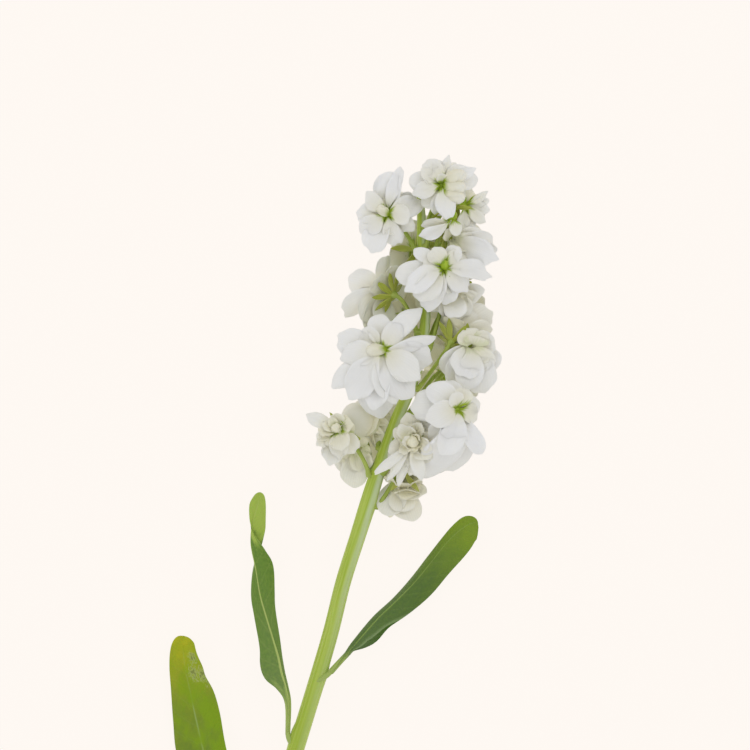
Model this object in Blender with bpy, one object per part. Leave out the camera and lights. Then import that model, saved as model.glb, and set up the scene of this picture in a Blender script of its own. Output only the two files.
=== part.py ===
"""One cut stem of white double stock, Matthiola incana, lying on a flat surface.

The layout is in millimetres: x to the right, y up the flower head, z up from the surface that
the stem lies on. At the end it is turned so that the line from the cut end to the tip runs
along +Y, its origin goes to the middle of its footprint, and it is brought to metres.

The stem goes down first, then the leaves and the florets' stalks. Petals follow one by one, and
each looks for a place where it crosses nothing. The sepals come last, behind their petals.
"""

import math
import random

import bmesh
import bpy
from mathutils import Matrix, Vector
from mathutils.bvhtree import BVHTree

MM = 0.001
LEAN = math.radians(14.2)
GAP = 0.35
SEED = 11

# Centre line and radius of the main stem, from the cut end to the growing tip.
STEM = [
    (-75.6, -299.3, 4.5, 4.1),
    (-65.3, -263.3, 7.0, 4.0),
    (-49.5, -211.5, 11.0, 3.9),
    (-35.6, -168.8, 14.4, 3.8),
    (-21.2, -121.0, 18.2, 3.6),
    (-14.4, -94.0, 20.2, 3.5),
    (-8.1, -73.8, 21.8, 3.5),
    (-1.8, -53.6, 23.4, 3.5),
    (4.5, -34.7, 24.6, 2.9),
    (9.5, -20.7, 25.4, 2.7),
    (14.6, -8.5, 26.0, 2.6),
    (20.2, 6.8, 26.8, 2.4),
    (22.4, 20.3, 27.2, 2.3),
    (22.9, 33.8, 27.4, 2.2),
    (22.0, 47.3, 27.8, 2.1),
    (20.8, 60.8, 28.4, 2.0),
    (20.9, 71.5, 29.0, 1.9),
    (20.2, 80.5, 29.8, 1.5),
]

# Each leaf, from the stem to its tip. A station is the midrib's x, y, z, then the left and the
# right margin as a step to the right of the midrib and a step up from it. Where both margins
# lie on one side, the leaf is folded along its midrib.
LEAVES = {
    "leaf_left": [
        (-39.4, -162.6, 15.8, -1.1, 0.2, 1.1, 0.2),
        (-39.4, -148.5, 15.4, -1.3, 0.6, 1.4, -0.4),
        (-40.2, -141.3, 14.6, -4.2, 0.8, 0.9, -0.6),
        (-41.9, -134.6, 13.6, -8.6, 1.0, 1.0, -0.8),
        (-43.4, -127.8, 12.4, -9.0, 0.6, 1.3, -1.2),
        (-45.8, -120.5, 11.2, -6.9, 0.6, 2.8, -1.8),
        (-50.0, -107.6, 9.6, -5.0, 0.8, 5.0, -2.4),
        (-52.4, -99.0, 9.4, -3.8, 0.4, 7.0, -1.8),
        (-54.2, -87.5, 10.0, -0.8, -1.6, 8.2, -0.6),
        (-55.3, -80.6, 11.0, 3.0, -2.4, 6.0, 1.0),
        (-56.0, -74.0, 11.8, 5.4, -1.8, 2.6, 1.8),
        (-55.6, -67.5, 12.0, 6.2, -0.8, -0.8, 1.0),
        (-53.4, -60.0, 12.2, 4.2, 0.4, -3.6, 0.4),
        (-52.3, -55.2, 12.4, 2.6, 0.4, -2.6, 0.4),
        (-52.0, -53.0, 12.4, 1.0, 0.0, -1.0, 0.0),
    ],
    "leaf_right": [
        (-20.6, -134.6, 20.6, -0.9, 0.9, 1.1, -0.9),
        (-13.6, -126.5, 18.2, -0.8, 0.6, 1.5, -1.0),
        (-8.6, -120.8, 16.4, -1.3, -0.8, 3.3, -2.2),
        (0.5, -110.8, 13.4, -1.8, -2.2, 6.0, -2.8),
        (9.5, -102.3, 11.4, -1.6, -2.8, 8.2, -2.2),
        (18.2, -93.5, 10.2, -2.2, -2.6, 9.4, -1.4),
        (25.6, -84.5, 9.6, -2.6, -2.2, 9.6, -0.8),
        (32.0, -76.5, 9.2, -2.8, -1.8, 10.2, 0.0),
        (37.6, -71.0, 8.8, -3.6, -1.0, 9.4, 0.6),
        (42.6, -67.6, 8.4, -4.0, -0.2, 7.0, 0.8),
        (46.6, -66.4, 8.2, -1.6, 0.0, 3.0, 0.2),
    ],
    "leaf_lower": [
        (-61.5, -239.6, 12.9, -1.1, 0.2, 0.8, 0.2),
        (-64.9, -224.5, 11.2, -2.8, 0.8, 2.8, 0.8),
        (-69.2, -206.0, 9.0, -7.6, 1.2, 6.8, 1.4),
        (-73.6, -187.5, 7.0, -11.4, 1.0, 9.8, 1.6),
        (-78.2, -168.5, 6.0, -12.2, 0.6, 10.4, 1.4),
        (-81.4, -155.0, 5.6, -10.4, 0.4, 11.2, 0.8),
        (-84.3, -141.5, 5.4, -8.4, 0.6, 10.4, 0.8),
        (-86.2, -132.5, 5.5, -7.1, 1.0, 8.6, 1.0),
        (-87.0, -125.5, 5.8, -6.0, 1.0, 6.6, 0.8),
        (-87.0, -121.0, 6.0, -4.6, 0.6, 5.0, 0.4),
        (-86.6, -118.3, 6.0, -2.2, 0.2, 2.4, 0.2),
    ],
}

# Each floret: centre, the way its face points, the height on the stem where its stalk leaves,
# and its outer petals as the tip's place from the centre and the petal's width.
FLORETS = {
    "01": ((5.6, 72.5, 39.0), (-0.2, 0.0, 0.98), 56.0, [
        (2.2, 18.5, 0.5, 11.0), (6.9, 20.5, -3.0, 5.0), (-8.3, 8.8, -1.5, 6.5), (-14.0, -0.8, 0.5, 9.5),
        (-11.5, -9.0, -1.5, 9.0), (-7.1, -17.3, 0.5, 11.0), (5.0, -14.7, -1.5, 7.5),
        (11.2, -6.6, 1.0, 7.5), (15.9, 4.5, -1.0, 8.5), (12.0, 6.5, 2.5, 8.0),
    ]),
    "02": ((30.0, 85.0, 42.0), (0.05, 0.1, 0.98), 66.0, [
        (-14.5, 3.0, -1.0, 10.0), (-11.6, -0.8, 2.5, 6.0), (-6.6, 10.6, -3.0, 8.5), (3.1, 12.5, 0.5, 4.5),
        (10.2, 9.1, -1.5, 7.5), (15.2, 2.5, -2.0, 8.5), (-2.5, -14.0, 1.5, 8.0), (2.5, -15.5, -0.5, 9.0),
        (11.5, -4.0, -1.5, 7.0), (-12.5, -4.0, -1.5, 8.0), (-2.5, 11.5, -1.0, 5.5), (13.5, 6.0, 0.5, 6.0),
    ]),
    "03": ((39.6, 76.5, 37.0), (0.4, -0.2, 0.88), 63.0, [
        (11.5, 1.5, 1.0, 5.0), (9.4, 5.8, -1.0, 4.0), (11.5, -2.5, -1.0, 5.5), (9.0, -8.0, 0.0, 5.5),
        (3.5, -12.0, 1.0, 6.0), (-1.0, -11.0, -1.0, 6.5), (2.5, 8.0, -2.0, 7.0),
    ]),
    "04": ((34.5, 71.0, 45.0), (0.1, -0.75, 0.65), 58.0, [
        (-2.4, -8.5, 1.0, 5.0), (2.2, -8.5, 1.5, 5.0), (0.0, -7.0, -3.0, 5.0), (-14.8, -3.7, -3.0, 5.5),
    ]),
    "05": ((35.0, 60.5, 39.0), (0.6, -0.4, 0.7), 46.0, [
        (13.6, 2.2, -3.0, 8.0), (18.1, -0.9, -1.0, 9.0), (18.6, -5.0, 1.0, 9.0), (16.0, -9.0, -2.0, 9.5),
        (11.5, -13.5, -1.0, 10.0), (5.2, -12.0, 2.0, 8.5), (-2.7, -10.3, 0.0, 9.0),
        (13.0, -5.1, 6.0, 9.0), (8.9, -1.4, 6.5, 8.0),
    ]),
    "06": ((30.9, 47.4, 45.0), (0.0, 0.25, 0.97), 30.0, [
        (-22.0, -2.5, 0.5, 9.5), (-13.9, 8.8, 1.5, 5.5), (-10.0, 2.0, 4.5, 5.5), (-16.0, -10.5, 1.5, 9.0),
        (-8.3, -18.5, -3.0, 9.0), (0.8, -14.5, 2.5, 9.5), (9.8, -10.0, 0.5, 9.5), (15.6, 1.0, 2.5, 7.5),
        (19.5, -3.7, -0.5, 8.5), (-5.0, 8.0, -1.0, 9.0), (6.0, 8.5, -2.0, 8.0),
    ]),
    "07": ((4.8, 38.2, 31.0), (-0.72, 0.4, -0.5), 19.0, [
        (-19.5, -10.0, -4.0, 16.0), (-16.0, 5.0, -3.0, 15.0), (-1.0, 15.5, -3.0, 13.0), (7.5, 12.0, -6.0, 11.0),
        (-9.5, -17.0, -5.0, 14.0), (1.5, -16.5, -8.0, 13.0), (-9.0, -6.0, 3.0, 10.0),
    ]),
    "08": ((3.7, 11.3, 43.5), (-0.1, 0.0, 1.0), -6.0, [
        (16.5, 17.0, 3.0, 8.0), (-2.6, 15.8, -1.0, 9.0), (-20.0, 4.8, 0.0, 11.0), (-21.5, -15.5, -1.0, 10.0),
        (-14.5, -21.0, -3.0, 12.0), (-4.6, -25.5, 3.0, 10.0), (11.0, -20.5, 0.5, 13.0),
        (21.5, -5.5, 1.0, 12.5), (23.5, 5.0, -0.5, 5.5), (-2.5, -29.0, -4.5, 14.0), (7.5, 13.0, -3.0, 8.0),
    ]),
    "09": ((36.1, 17.5, 31.0), (0.4, 0.6, -0.69), -5.0, [
        (17.0, 3.0, -3.0, 9.0), (16.0, 11.0, -4.0, 10.0), (10.0, 14.5, -3.0, 10.0), (-2.0, 14.5, -4.0, 11.0),
        (-10.5, 8.5, -4.0, 10.5), (-10.5, -1.5, -6.0, 10.0), (8.0, -6.0, -8.0, 10.0),
    ]),
    "10": ((43.0, 13.0, 34.5), (0.25, -0.1, 0.95), -22.0, [
        (10.5, -11.5, -1.0, 14.0), (4.5, -20.5, 0.0, 14.0), (-3.0, -18.5, 1.5, 12.0),
        (-13.0, -12.5, 1.0, 14.0), (-9.0, -17.0, 4.0, 12.0), (10.0, 1.5, -1.0, 12.0), (1.0, 5.0, 0.0, 12.0),
    ]),
    "11": ((36.4, -15.3, 44.0), (0.4, 0.05, 0.9), -28.0, [
        (-20.5, 0.5, 2.0, 14.5), (-15.0, 9.0, -1.0, 12.0), (-5.0, 13.0, -2.0, 9.0), (-6.5, -20.0, 5.5, 11.0),
        (11.5, -20.0, 0.5, 7.5), (-2.0, -29.5, -10.0, 14.0), (-14.5, -33.0, -11.0, 14.0),
        (11.1, 1.9, -1.0, 9.5), (5.0, 9.0, -2.0, 9.0), (-16.0, -9.0, -2.0, 12.0), (-4.0, 7.0, 1.5, 8.0),
    ]),
    "12": ((17.9, -29.0, 39.0), (-0.2, -0.15, 0.95), -43.0, [
        (-11.4, -5.2, 3.0, 9.5), (-16.9, -14.3, 1.0, 4.5), (-11.5, -17.0, 0.0, 4.0), (-7.1, -20.8, -1.0, 5.0),
        (-1.5, -16.5, 2.0, 7.0), (3.5, -16.0, 0.0, 6.5), (-8.8, 4.6, 0.0, 8.0), (-3.2, 11.1, 1.0, 10.0),
        (6.5, 6.5, -1.0, 9.0), (8.0, -9.0, -1.0, 9.0),
    ]),
    "13": ((-15.6, -25.0, 35.0), (-0.35, 0.25, 0.9), -46.0, [
        (-14.9, 7.5, 0.0, 5.5), (-9.9, -6.0, 1.0, 8.0), (-4.5, -14.5, 1.0, 8.5), (2.0, -13.5, -1.0, 9.0),
        (7.5, -9.5, 2.0, 9.0), (-1.0, 8.0, 2.0, 7.0), (5.5, 2.5, 1.0, 8.0),
    ]),
    "14": ((-6.5, -32.5, 19.5), (-0.25, -0.35, 0.9), -43.0, [
        (-4.0, -18.0, 1.0, 12.5), (-10.5, -10.5, 0.0, 11.0), (4.0, -16.5, -2.0, 11.0), (9.5, -3.0, -5.0, 12.0),
        (8.5, -11.0, -4.0, 12.0), (-1.5, -11.5, 4.5, 11.0),
    ]),
    "15": ((12.5, -47.5, 24.0), (-0.1, -0.8, -0.6), -58.0, [
        (-13.0, -8.0, 1.0, 13.0), (-7.5, -14.0, 3.0, 14.0), (4.5, -16.5, 3.5, 14.5), (-1.5, -12.0, 6.5, 12.0),
        (9.5, -9.5, 2.0, 12.0), (-6.0, -10.0, -6.0, 12.0), (5.0, -9.0, -7.0, 12.0),
    ]),
    "16": ((32.0, 58.0, 16.5), (0.45, 0.0, -0.85), 43.0, []),
    "17": ((17.0, 57.0, 15.5), (-0.3, 0.1, -0.9), 39.0, [
        (-9.0, 5.0, 2.0, 10.0), (-9.5, -7.0, 2.0, 11.0), (-2.0, 13.5, 1.0, 11.0), (8.0, 9.0, -3.0, 11.0),
        (7.0, -9.0, -3.0, 11.0), (-2.0, -14.0, 1.0, 11.0),
    ]),
    "18": ((34.5, 39.0, 33.0), (0.1, -0.6, 0.7), 12.0, [
        (-9.5, -9.5, 1.0, 12.0), (-3.0, -13.0, 1.0, 12.0), (5.0, -13.0, 1.0, 12.5), (12.0, -7.5, 0.0, 12.0),
        (13.5, 0.5, -1.0, 10.0), (-12.0, -1.5, -1.0, 11.0), (2.0, -8.0, 5.0, 10.0),
    ]),
    "19": ((13.0, 26.5, 14.0), (-0.4, 0.1, -0.9), 12.0, []),
    "20": ((31.0, 0.0, 14.0), (0.45, 0.0, -0.9), -20.0, []),
    "21": ((8.0, -31.0, 11.5), (0.2, -0.1, -0.95), -40.0, []),
    "22": ((31.0, 82.0, 17.0), (0.3, 0.5, -0.8), 61.0, [
        (-7.5, 3.0, 1.0, 10.0), (-3.0, 13.0, -2.0, 11.0), (9.0, 11.0, -2.0, 11.0), (14.0, -1.0, 1.0, 11.0),
        (7.0, -11.0, 4.0, 11.0), (-4.0, -9.0, 3.0, 10.0),
    ]),
    "23": ((33.0, 26.0, 14.0), (0.4, -0.1, -0.9), 14.0, []),
    "24": ((-0.3, -22.3, 21.2), (-0.88, 0.28, 0.35), -34.0, [
        (3.5, -12.0, -4.0, 13.0), (-9.0, 9.5, -2.0, 12.0), (9.5, 8.0, -8.0, 12.0),
    ]),
}
HIDDEN_PETALS = 6
# The florets that show their middle have small petals standing there.
SHOWN_MIDDLES = ("01", "02", "06", "08")
INNER_PETALS = 2
# Sepals of the florets that show their backs, and of all the others.
SEPALS = {"07": 8, "09": 8, "13": 3, "15": 5, "19": 0, "20": 0, "21": 0, "23": 2, "24": 0}
FEWEST_SEPALS = 4
SEPAL_LENGTH = 9.5
SEPAL_WIDTH = 2.8

STEM_SIDES = 10
STEM_RIB = 0.06
CUT_SLANT = 0.8
STALK_SIDES = 5
STALK_RADIUS = 1.15
CUP_RADIUS = 2.0
CUP_DEPTH = 3.6
HEART_RADIUS = 3.0
HEART_LENGTH = 3.0
# The floret whose petals close into a ball, and that ball.
BALLED = "24"
BALL_RADIUS = 7.8
BALL_LENGTH = 9.4
BUDS = 6
BUD_RADIUS = 1.5
BUD_LENGTH = 3.0
KNOB_RADIUS = 2.2
KNOB_LENGTH = 2.4

# A petal is widest at WIDEST of its length. Its claw and tip are these shares of that width.
WIDEST = 0.6
CLAW = 0.2
TIP_WIDTH = 0.4
PETAL_CUP = 0.28
PETAL_RISE = 0.3
SEPAL_CUP = 0.2
SEPAL_RISE = 0.12
# How far along the floret's axis from its centre a petal can grow.
WHORLS = (-1.8, -0.6, 0.6, 1.8)
# What a petal tries so as to cross nothing: moves along that axis, then sizes.
MOVES = (0, 1.5, -1.5, 3, -3, 4.5, -4.5, 6, -6)
SIZES = (1.0, 0.86, 0.72, 0.6)
SEPAL_DROPS = (4.5, 3, 1.5, 0, -1.5, -3, -5)

PETAL_THICK = 0.8
SEPAL_THICK = 1.0
LEAF_THICK = 0.9
RIB_THICK = 2.2
PETAL_ROWS = (0.0, 0.33, 0.72, 1.0)
SEPAL_ROWS = (0.0, 0.55, 1.0)

# Petals bend along the surface from this height down, and keep this far off it.
FLOOR_BEND = 2.5
FLOOR_CLEAR = 0.5

# Points this close are merged after a join, and a join that fails is tried again from shapes
# moved this little.
MERGE = 0.002
NUDGE = 0.02
NUDGES = 8

COLOURS = {
    "stem": ("#9fb653", 0.5),
    "leaf": ("#5c7a37", 0.55),
    "calyx": ("#8c9a2e", 0.5),
    "bud": ("#6f8a3a", 0.55),
    "petal": ("#e9e9e6", 0.6),
}


def clear_scene():
    for obj in list(bpy.data.objects):
        bpy.data.objects.remove(obj)


def linear(hex_colour):
    values = [int(hex_colour[i : i + 2], 16) / 255 for i in (1, 3, 5)]
    return [v / 12.92 if v <= 0.04045 else ((v + 0.055) / 1.055) ** 2.4 for v in values]


def material(name):
    hex_colour, roughness = COLOURS[name]
    made = bpy.data.materials.new(name)
    made.use_nodes = True
    shader = made.node_tree.nodes["Principled BSDF"]
    shader.inputs["Base Color"].default_value = (*linear(hex_colour), 1)
    shader.inputs["Roughness"].default_value = roughness
    shader.inputs["Metallic"].default_value = 0
    return made


def spline(points, u):
    """A smooth curve through points, each a tuple of any length, read at u from 0 to 1."""
    place = min(max(u, 0.0), 1.0) * (len(points) - 1)
    i = min(int(place), len(points) - 2)
    f = place - i
    before, here = points[max(i - 1, 0)], points[i]
    there, after = points[i + 1], points[min(i + 2, len(points) - 1)]
    curve = []
    for a, b, c, d in zip(before, here, there, after):
        cubic = 3 * (b - c) + d - a
        square = 2 * a - 5 * b + 4 * c - d
        curve.append(b + 0.5 * f * (c - a + f * (square + f * cubic)))
    return curve


def off_the_floor(point):
    """Bends what would sink below the surface, so that it lies along it instead."""
    height = point.z - FLOOR_CLEAR
    if height < FLOOR_BEND:
        height = FLOOR_BEND * math.exp(height / FLOOR_BEND - 1)
    return Vector((point.x, point.y, height + FLOOR_CLEAR))


def across(vector):
    """Two unit vectors square to this one and to each other."""
    up = Vector((0, 0, 1)) if abs(vector.z) < 0.9 else Vector((1, 0, 0))
    first = vector.cross(up).normalized()
    return first, vector.cross(first).normalized()


def round_axis(axis, count, rng):
    """Unit vectors square to the axis, spread evenly round it but for a small draw."""
    first, second = across(axis)
    for k in range(count):
        turn = 2 * math.pi * (k + 0.3 * rng.random()) / count
        yield first * math.cos(turn) + second * math.sin(turn)


class Petal:
    """A petal or sepal, as a surface read at s from claw to tip and t from -1 to 1 across."""

    def __init__(self, centre, axis, tip, width, cup=PETAL_CUP, rise=PETAL_RISE, whorl=0.0):
        out = tip - centre
        radial = out - axis * out.dot(axis)
        self.side = axis.cross(radial).normalized()
        self.base = centre + axis * whorl + radial.normalized()
        self.tip = tip
        self.bend = centre + axis * (rise * out.length + whorl) + radial * 0.3
        self.width = width
        self.cup = cup

    def middle(self, s):
        return self.base * (1 - s) ** 2 + self.bend * 2 * s * (1 - s) + self.tip * s * s

    def half_width(self, s):
        if s < WIDEST:
            share = CLAW + (1 - CLAW) * math.sin(math.pi / 2 * s / WIDEST)
        else:
            share = 1 - (1 - TIP_WIDTH) * ((s - WIDEST) / (1 - WIDEST)) ** 2.2
        return self.width / 2 * share

    def point(self, s, t):
        along = (self.middle(min(s + 0.01, 1)) - self.middle(max(s - 0.01, 0))).normalized()
        face = self.side.cross(along).normalized()
        half = self.half_width(s)
        raised = self.cup * half * t * t
        return off_the_floor(self.middle(s) + self.side * half * t - face * raised)


class Leaf:
    """A leaf, as a surface through its stations: s from stalk to tip, t from -1 to 1."""

    def __init__(self, stations):
        self.stations = stations

    def point(self, s, t):
        x, y, z, left, left_up, right, right_up = spline(self.stations, s)
        ahead = spline(self.stations, min(s + 0.02, 1))
        behind = spline(self.stations, max(s - 0.02, 0))
        way = Vector((ahead[0] - behind[0], ahead[1] - behind[1], 0)).normalized()
        rightward = Vector((way.y, -way.x, 0))
        step, lift = (left, left_up) if t < 0 else (right, right_up)
        margin = rightward * step + Vector((0, 0, lift))
        return Vector((x, y, z)) + margin * abs(t)


def blade(surface, rows, columns, thickness, rib=0.0):
    """A closed blade round the surface: sharp at its margin and tip, both faces split alike."""
    points, faces = [], []
    top, under = {}, {}
    last = len(rows) - 1
    for i, s in enumerate(rows):
        for j in range(columns + 1):
            t = 2 * j / columns - 1
            place = surface.point(s, t)
            if i == last or j in (0, columns):
                top[i, j] = under[i, j] = len(points)
                points.append(place)
                continue
            along = surface.point(s + 0.02, t) - surface.point(max(s - 0.02, 0), t)
            wide = surface.point(s, min(t + 0.05, 1)) - surface.point(s, max(t - 0.05, -1))
            normal = along.cross(wide).normalized()
            half = thickness / 2 + (rib / 2 * (1 - s) if t == 0 else 0)
            top[i, j], under[i, j] = len(points), len(points) + 1
            points += [place + normal * half, place - normal * half]
    for i in range(last):
        for j in range(columns):
            for grid, flip in ((top, False), (under, True)):
                a, b, c, d = grid[i, j], grid[i + 1, j], grid[i + 1, j + 1], grid[i, j + 1]
                halves = ((a, b, d), (b, c, d)) if 2 * j < columns else ((a, b, c), (a, c, d))
                faces += [face[::-1] if flip else face for face in halves]
    for j in range(columns):
        a, b, c, d = top[0, j], top[0, j + 1], under[0, j + 1], under[0, j]
        faces += [face for face in ((a, b, c), (a, c, d)) if len(set(face)) == 3]
    return points, faces


def petal_blade(petal, spare=0.0):
    """The petal's blade, swelled all round by spare."""
    petal.width += 2 * spare
    shape = blade(petal, PETAL_ROWS, 2, PETAL_THICK + 2 * spare)
    petal.width -= 2 * spare
    return shape


def sepal_blade(sepal, spare=0.0):
    sepal.width += 2 * spare
    shape = blade(sepal, SEPAL_ROWS, 2, SEPAL_THICK + 2 * spare)
    sepal.width -= 2 * spare
    return shape


def tube(centres, radii, sides, rib=0.0):
    """A closed tube of rings square to its path. rib raises every other corner."""
    points, faces = [], []
    last = len(centres) - 1
    ways = [(centres[min(i + 1, last)] - centres[max(i - 1, 0)]).normalized() for i in range(last + 1)]
    first, _ = across(ways[0])
    for centre, radius, way in zip(centres, radii, ways):
        first = (first - way * first.dot(way)).normalized()
        second = way.cross(first)
        for k in range(sides):
            turn = 2 * math.pi * k / sides
            reach = radius * (1 + rib * (1 if k % 2 else -1))
            points.append(centre + (first * math.cos(turn) + second * math.sin(turn)) * reach)
    for i in range(last):
        for k in range(sides):
            a, b = i * sides + k, i * sides + (k + 1) % sides
            faces += [(a, b, b + sides), (a, b + sides, a + sides)]
    start, end = len(points), len(points) + 1
    points += [centres[0], centres[-1]]
    top = last * sides
    for k in range(sides):
        faces += [(start, (k + 1) % sides, k), (end, top + k, top + (k + 1) % sides)]
    return points, faces


def lump(centre, axis, radius, length, sides=STALK_SIDES):
    """A closed egg round centre, long along axis."""
    steps = (-0.9, -0.4, 0.4, 0.9)
    centres = [centre + axis * length * step for step in steps]
    return tube(centres, [radius * math.sqrt(1 - step * step) for step in steps], sides)


def ball(centre, axis):
    """The ball of closed petals, with its foot where the heart's foot is."""
    return lump(centre + axis * (BALL_LENGTH - HEART_LENGTH), axis, BALL_RADIUS, BALL_LENGTH, 12)


def box_of(shape):
    points = shape[0]
    low = [min(point[k] for point in points) for k in range(3)]
    high = [max(point[k] for point in points) for k in range(3)]
    return low, high


class Clearance:
    """What has been placed so far, to keep the next shape clear of it."""

    def __init__(self):
        self.placed = []

    def add(self, owner, shape):
        self.placed.append((owner, box_of(shape), BVHTree.FromPolygons(*shape)))

    def crosses(self, owner, shape):
        """Whether the shape runs into anything that isn't its owner's."""
        low, high = box_of(shape)
        tree = BVHTree.FromPolygons(*shape)
        for other, (other_low, other_high), other_tree in self.placed:
            apart = any(low[k] > other_high[k] or high[k] < other_low[k] for k in range(3))
            if other != owner and not apart and other_tree.overlap(tree):
                return True
        return False


def new_object(name, shape, finish):
    mesh = bpy.data.meshes.new(name)
    points, faces = shape
    mesh.from_pydata([point * MM for point in points], [], faces)
    mesh.materials.append(finish)
    obj = bpy.data.objects.new(name, mesh)
    bpy.context.scene.collection.objects.link(obj)
    return obj


def islands(grid):
    """The mesh's vertices in groups that hang together, the largest last."""
    left, found = set(grid.verts), []
    while left:
        island, edge = set(), [left.pop()]
        while edge:
            vertex = edge.pop()
            island.add(vertex)
            near = {link.other_vert(vertex) for link in vertex.link_edges} & left
            edge += near
            left -= near
        found.append(island)
    return sorted(found, key=len)


def one_body(mesh):
    """Merges what a join leaves far below any real detail, drops scraps and fills hollows.

    Says whether the mesh is closed, with every edge between two faces.
    """
    grid = bmesh.new()
    grid.from_mesh(mesh)
    bmesh.ops.remove_doubles(grid, verts=grid.verts, dist=MERGE * MM)
    bmesh.ops.triangulate(grid, faces=grid.faces)
    for island in islands(grid)[:-1]:
        bmesh.ops.delete(grid, geom=list(island), context="VERTS")
    closed = all(len(edge.link_faces) == 2 for edge in grid.edges)
    grid.to_mesh(mesh)
    grid.free()
    return closed


def joined(name, shapes, finish, nudge):
    """One mesh from shapes that run into each other, each but the first moved by nudge."""
    obj = new_object(name, shapes[0], finish)
    others = bpy.data.collections.new(name + "_parts")
    bpy.context.scene.collection.children.link(others)
    for i, (points, faces) in enumerate(shapes[1:]):
        shift = Vector((math.cos(i), math.sin(i), math.cos(2 * i))) * nudge
        moved = [point + shift for point in points]
        piece = new_object(f"{name}_part_{i}", (moved, faces), finish)
        bpy.context.scene.collection.objects.unlink(piece)
        others.objects.link(piece)
    union = obj.modifiers.new("join", "BOOLEAN")
    union.operation = "UNION"
    # The exact solver takes half a minute here, and this one a second.
    union.solver = "MANIFOLD"
    union.operand_type = "COLLECTION"
    union.collection = others
    graph = bpy.context.evaluated_depsgraph_get()
    mesh = bpy.data.meshes.new_from_object(obj.evaluated_get(graph))
    for piece in [obj, *others.objects]:
        bpy.data.objects.remove(piece)
    bpy.data.collections.remove(others)
    return mesh


def node(name, shapes, finish):
    """One object from shapes that run into each other, as one closed body."""
    if len(shapes) == 1:
        obj = new_object(name, shapes[0], finish)
    else:
        for attempt in range(NUDGES):
            mesh = joined(name, shapes, finish, attempt * NUDGE)
            if one_body(mesh):
                break
        obj = bpy.data.objects.new(name, mesh)
        bpy.context.scene.collection.objects.link(obj)
    obj.data.shade_smooth()
    obj.data.set_sharp_from_angle(angle=math.radians(50))
    return obj


def stem_at(y):
    """Centre, direction and radius of the stem where it reaches this y."""
    low, high = 0.0, 1.0
    for _ in range(30):
        half = (low + high) / 2
        if spline(STEM, half)[1] < y:
            low = half
        else:
            high = half
    *centre, radius = spline(STEM, low)
    ahead, behind = spline(STEM, low + 0.01), spline(STEM, low - 0.01)
    return Vector(centre), (Vector(ahead[:3]) - Vector(behind[:3])).normalized(), radius


def stem_shape():
    """The main stem, ribbed, with a slanting cut at its foot."""
    centres = [Vector(station[:3]) for station in STEM]
    points, faces = tube(centres, [station[3] for station in STEM], STEM_SIDES, STEM_RIB)
    way = (centres[1] - centres[0]).normalized()
    for point in points[:STEM_SIDES]:
        point += way * CUT_SLANT * (point - centres[0]).z
    return points, faces


def tip_shapes():
    """The closed buds of the growing tip, on a knob that caps the stem."""
    top, way, _ = stem_at(STEM[-1][1] - 0.1)
    knob = top + way * (KNOB_LENGTH + GAP)
    shapes = [lump(knob, way, KNOB_RADIUS, KNOB_LENGTH)]
    first, second = across(way)
    for k in range(BUDS):
        turn = 2 * math.pi * k * 0.382
        out = first * math.cos(turn) + second * math.sin(turn)
        lean = (way + out * (0.5 + 0.1 * (k % 3))).normalized()
        shapes.append(lump(knob + lean * (KNOB_LENGTH + 1.8), lean, BUD_RADIUS, BUD_LENGTH))
    return shapes


def stalk_shape(centre, axis, y, reach):
    """A floret's stalk, from reach outside the stem to the cup under the petals."""
    root, way, radius = stem_at(y)
    out = centre - root
    out = (out - way * out.dot(way)).normalized()
    end = centre - axis * (HEART_LENGTH + GAP)
    neck = end - axis * CUP_DEPTH
    start = root + out * (radius + reach)
    first = start + out * 2 + way * 5
    second = neck - axis * 5
    path = []
    for i in range(5):
        u = i / 4
        near = start * (1 - u) ** 3 + first * 3 * u * (1 - u) ** 2
        path.append(near + second * 3 * u * u * (1 - u) + neck * u**3)
    path += [neck + axis * CUP_DEPTH * 0.6, end]
    radii = [STALK_RADIUS] * 4 + [STALK_RADIUS * 1.15, CUP_RADIUS, CUP_RADIUS * 0.8]
    return tube(path, radii, STALK_SIDES)


def seated_stalk(centre, axis, y, clearance):
    """The stalk that starts nearest to the stem without touching it."""
    for tenth in range(6, 20):
        if not clearance.crosses("", stalk_shape(centre, axis, y, tenth / 10)):
            return stalk_shape(centre, axis, y, tenth / 10 + 0.3)


def outer_tips(tips, axis, rng):
    """The listed tips, or a ring of them by rule for a floret that the head hides."""
    if tips:
        return [(Vector(tip[:3]), tip[3]) for tip in tips]
    found = []
    for out in round_axis(axis, HIDDEN_PETALS, rng):
        lift = math.radians(rng.uniform(2, 24))
        length = rng.uniform(16, 19)
        found.append(((out * math.cos(lift) + axis * math.sin(lift)) * length, rng.uniform(12, 14.5)))
    return found


def inner_tips(axis, rng):
    """The small petals that stand up in the middle of a floret."""
    found = []
    for out in round_axis(axis, INNER_PETALS, rng):
        lift = math.radians(rng.uniform(48, 66))
        found.append(((out * math.cos(lift) + axis * math.sin(lift)) * rng.uniform(6.5, 8), 5.0))
    return found


def settled(centre, axis, tip, width, owner, clearance, own):
    """The petal to this tip that crosses no neighbour, and its own floret's petals least.

    It may grow from any of the floret's whorls, move along the axis or, at the worst, shrink.
    """
    for size in SIZES:
        best, least = None, None
        for move in MOVES:
            for whorl in WHORLS:
                end = centre + tip * size + axis * (move + whorl / 2)
                petal = Petal(centre, axis, end, width * (0.4 + 0.6 * size), whorl=whorl)
                if clearance.crosses(owner, petal_blade(petal, GAP)):
                    continue
                tree = BVHTree.FromPolygons(*petal_blade(petal))
                cost = abs(move) + sum(len(tree.overlap(other)) for other in own)
                if best is None or cost < least:
                    best, least = petal, cost
        if best:
            return best
    return None


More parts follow.
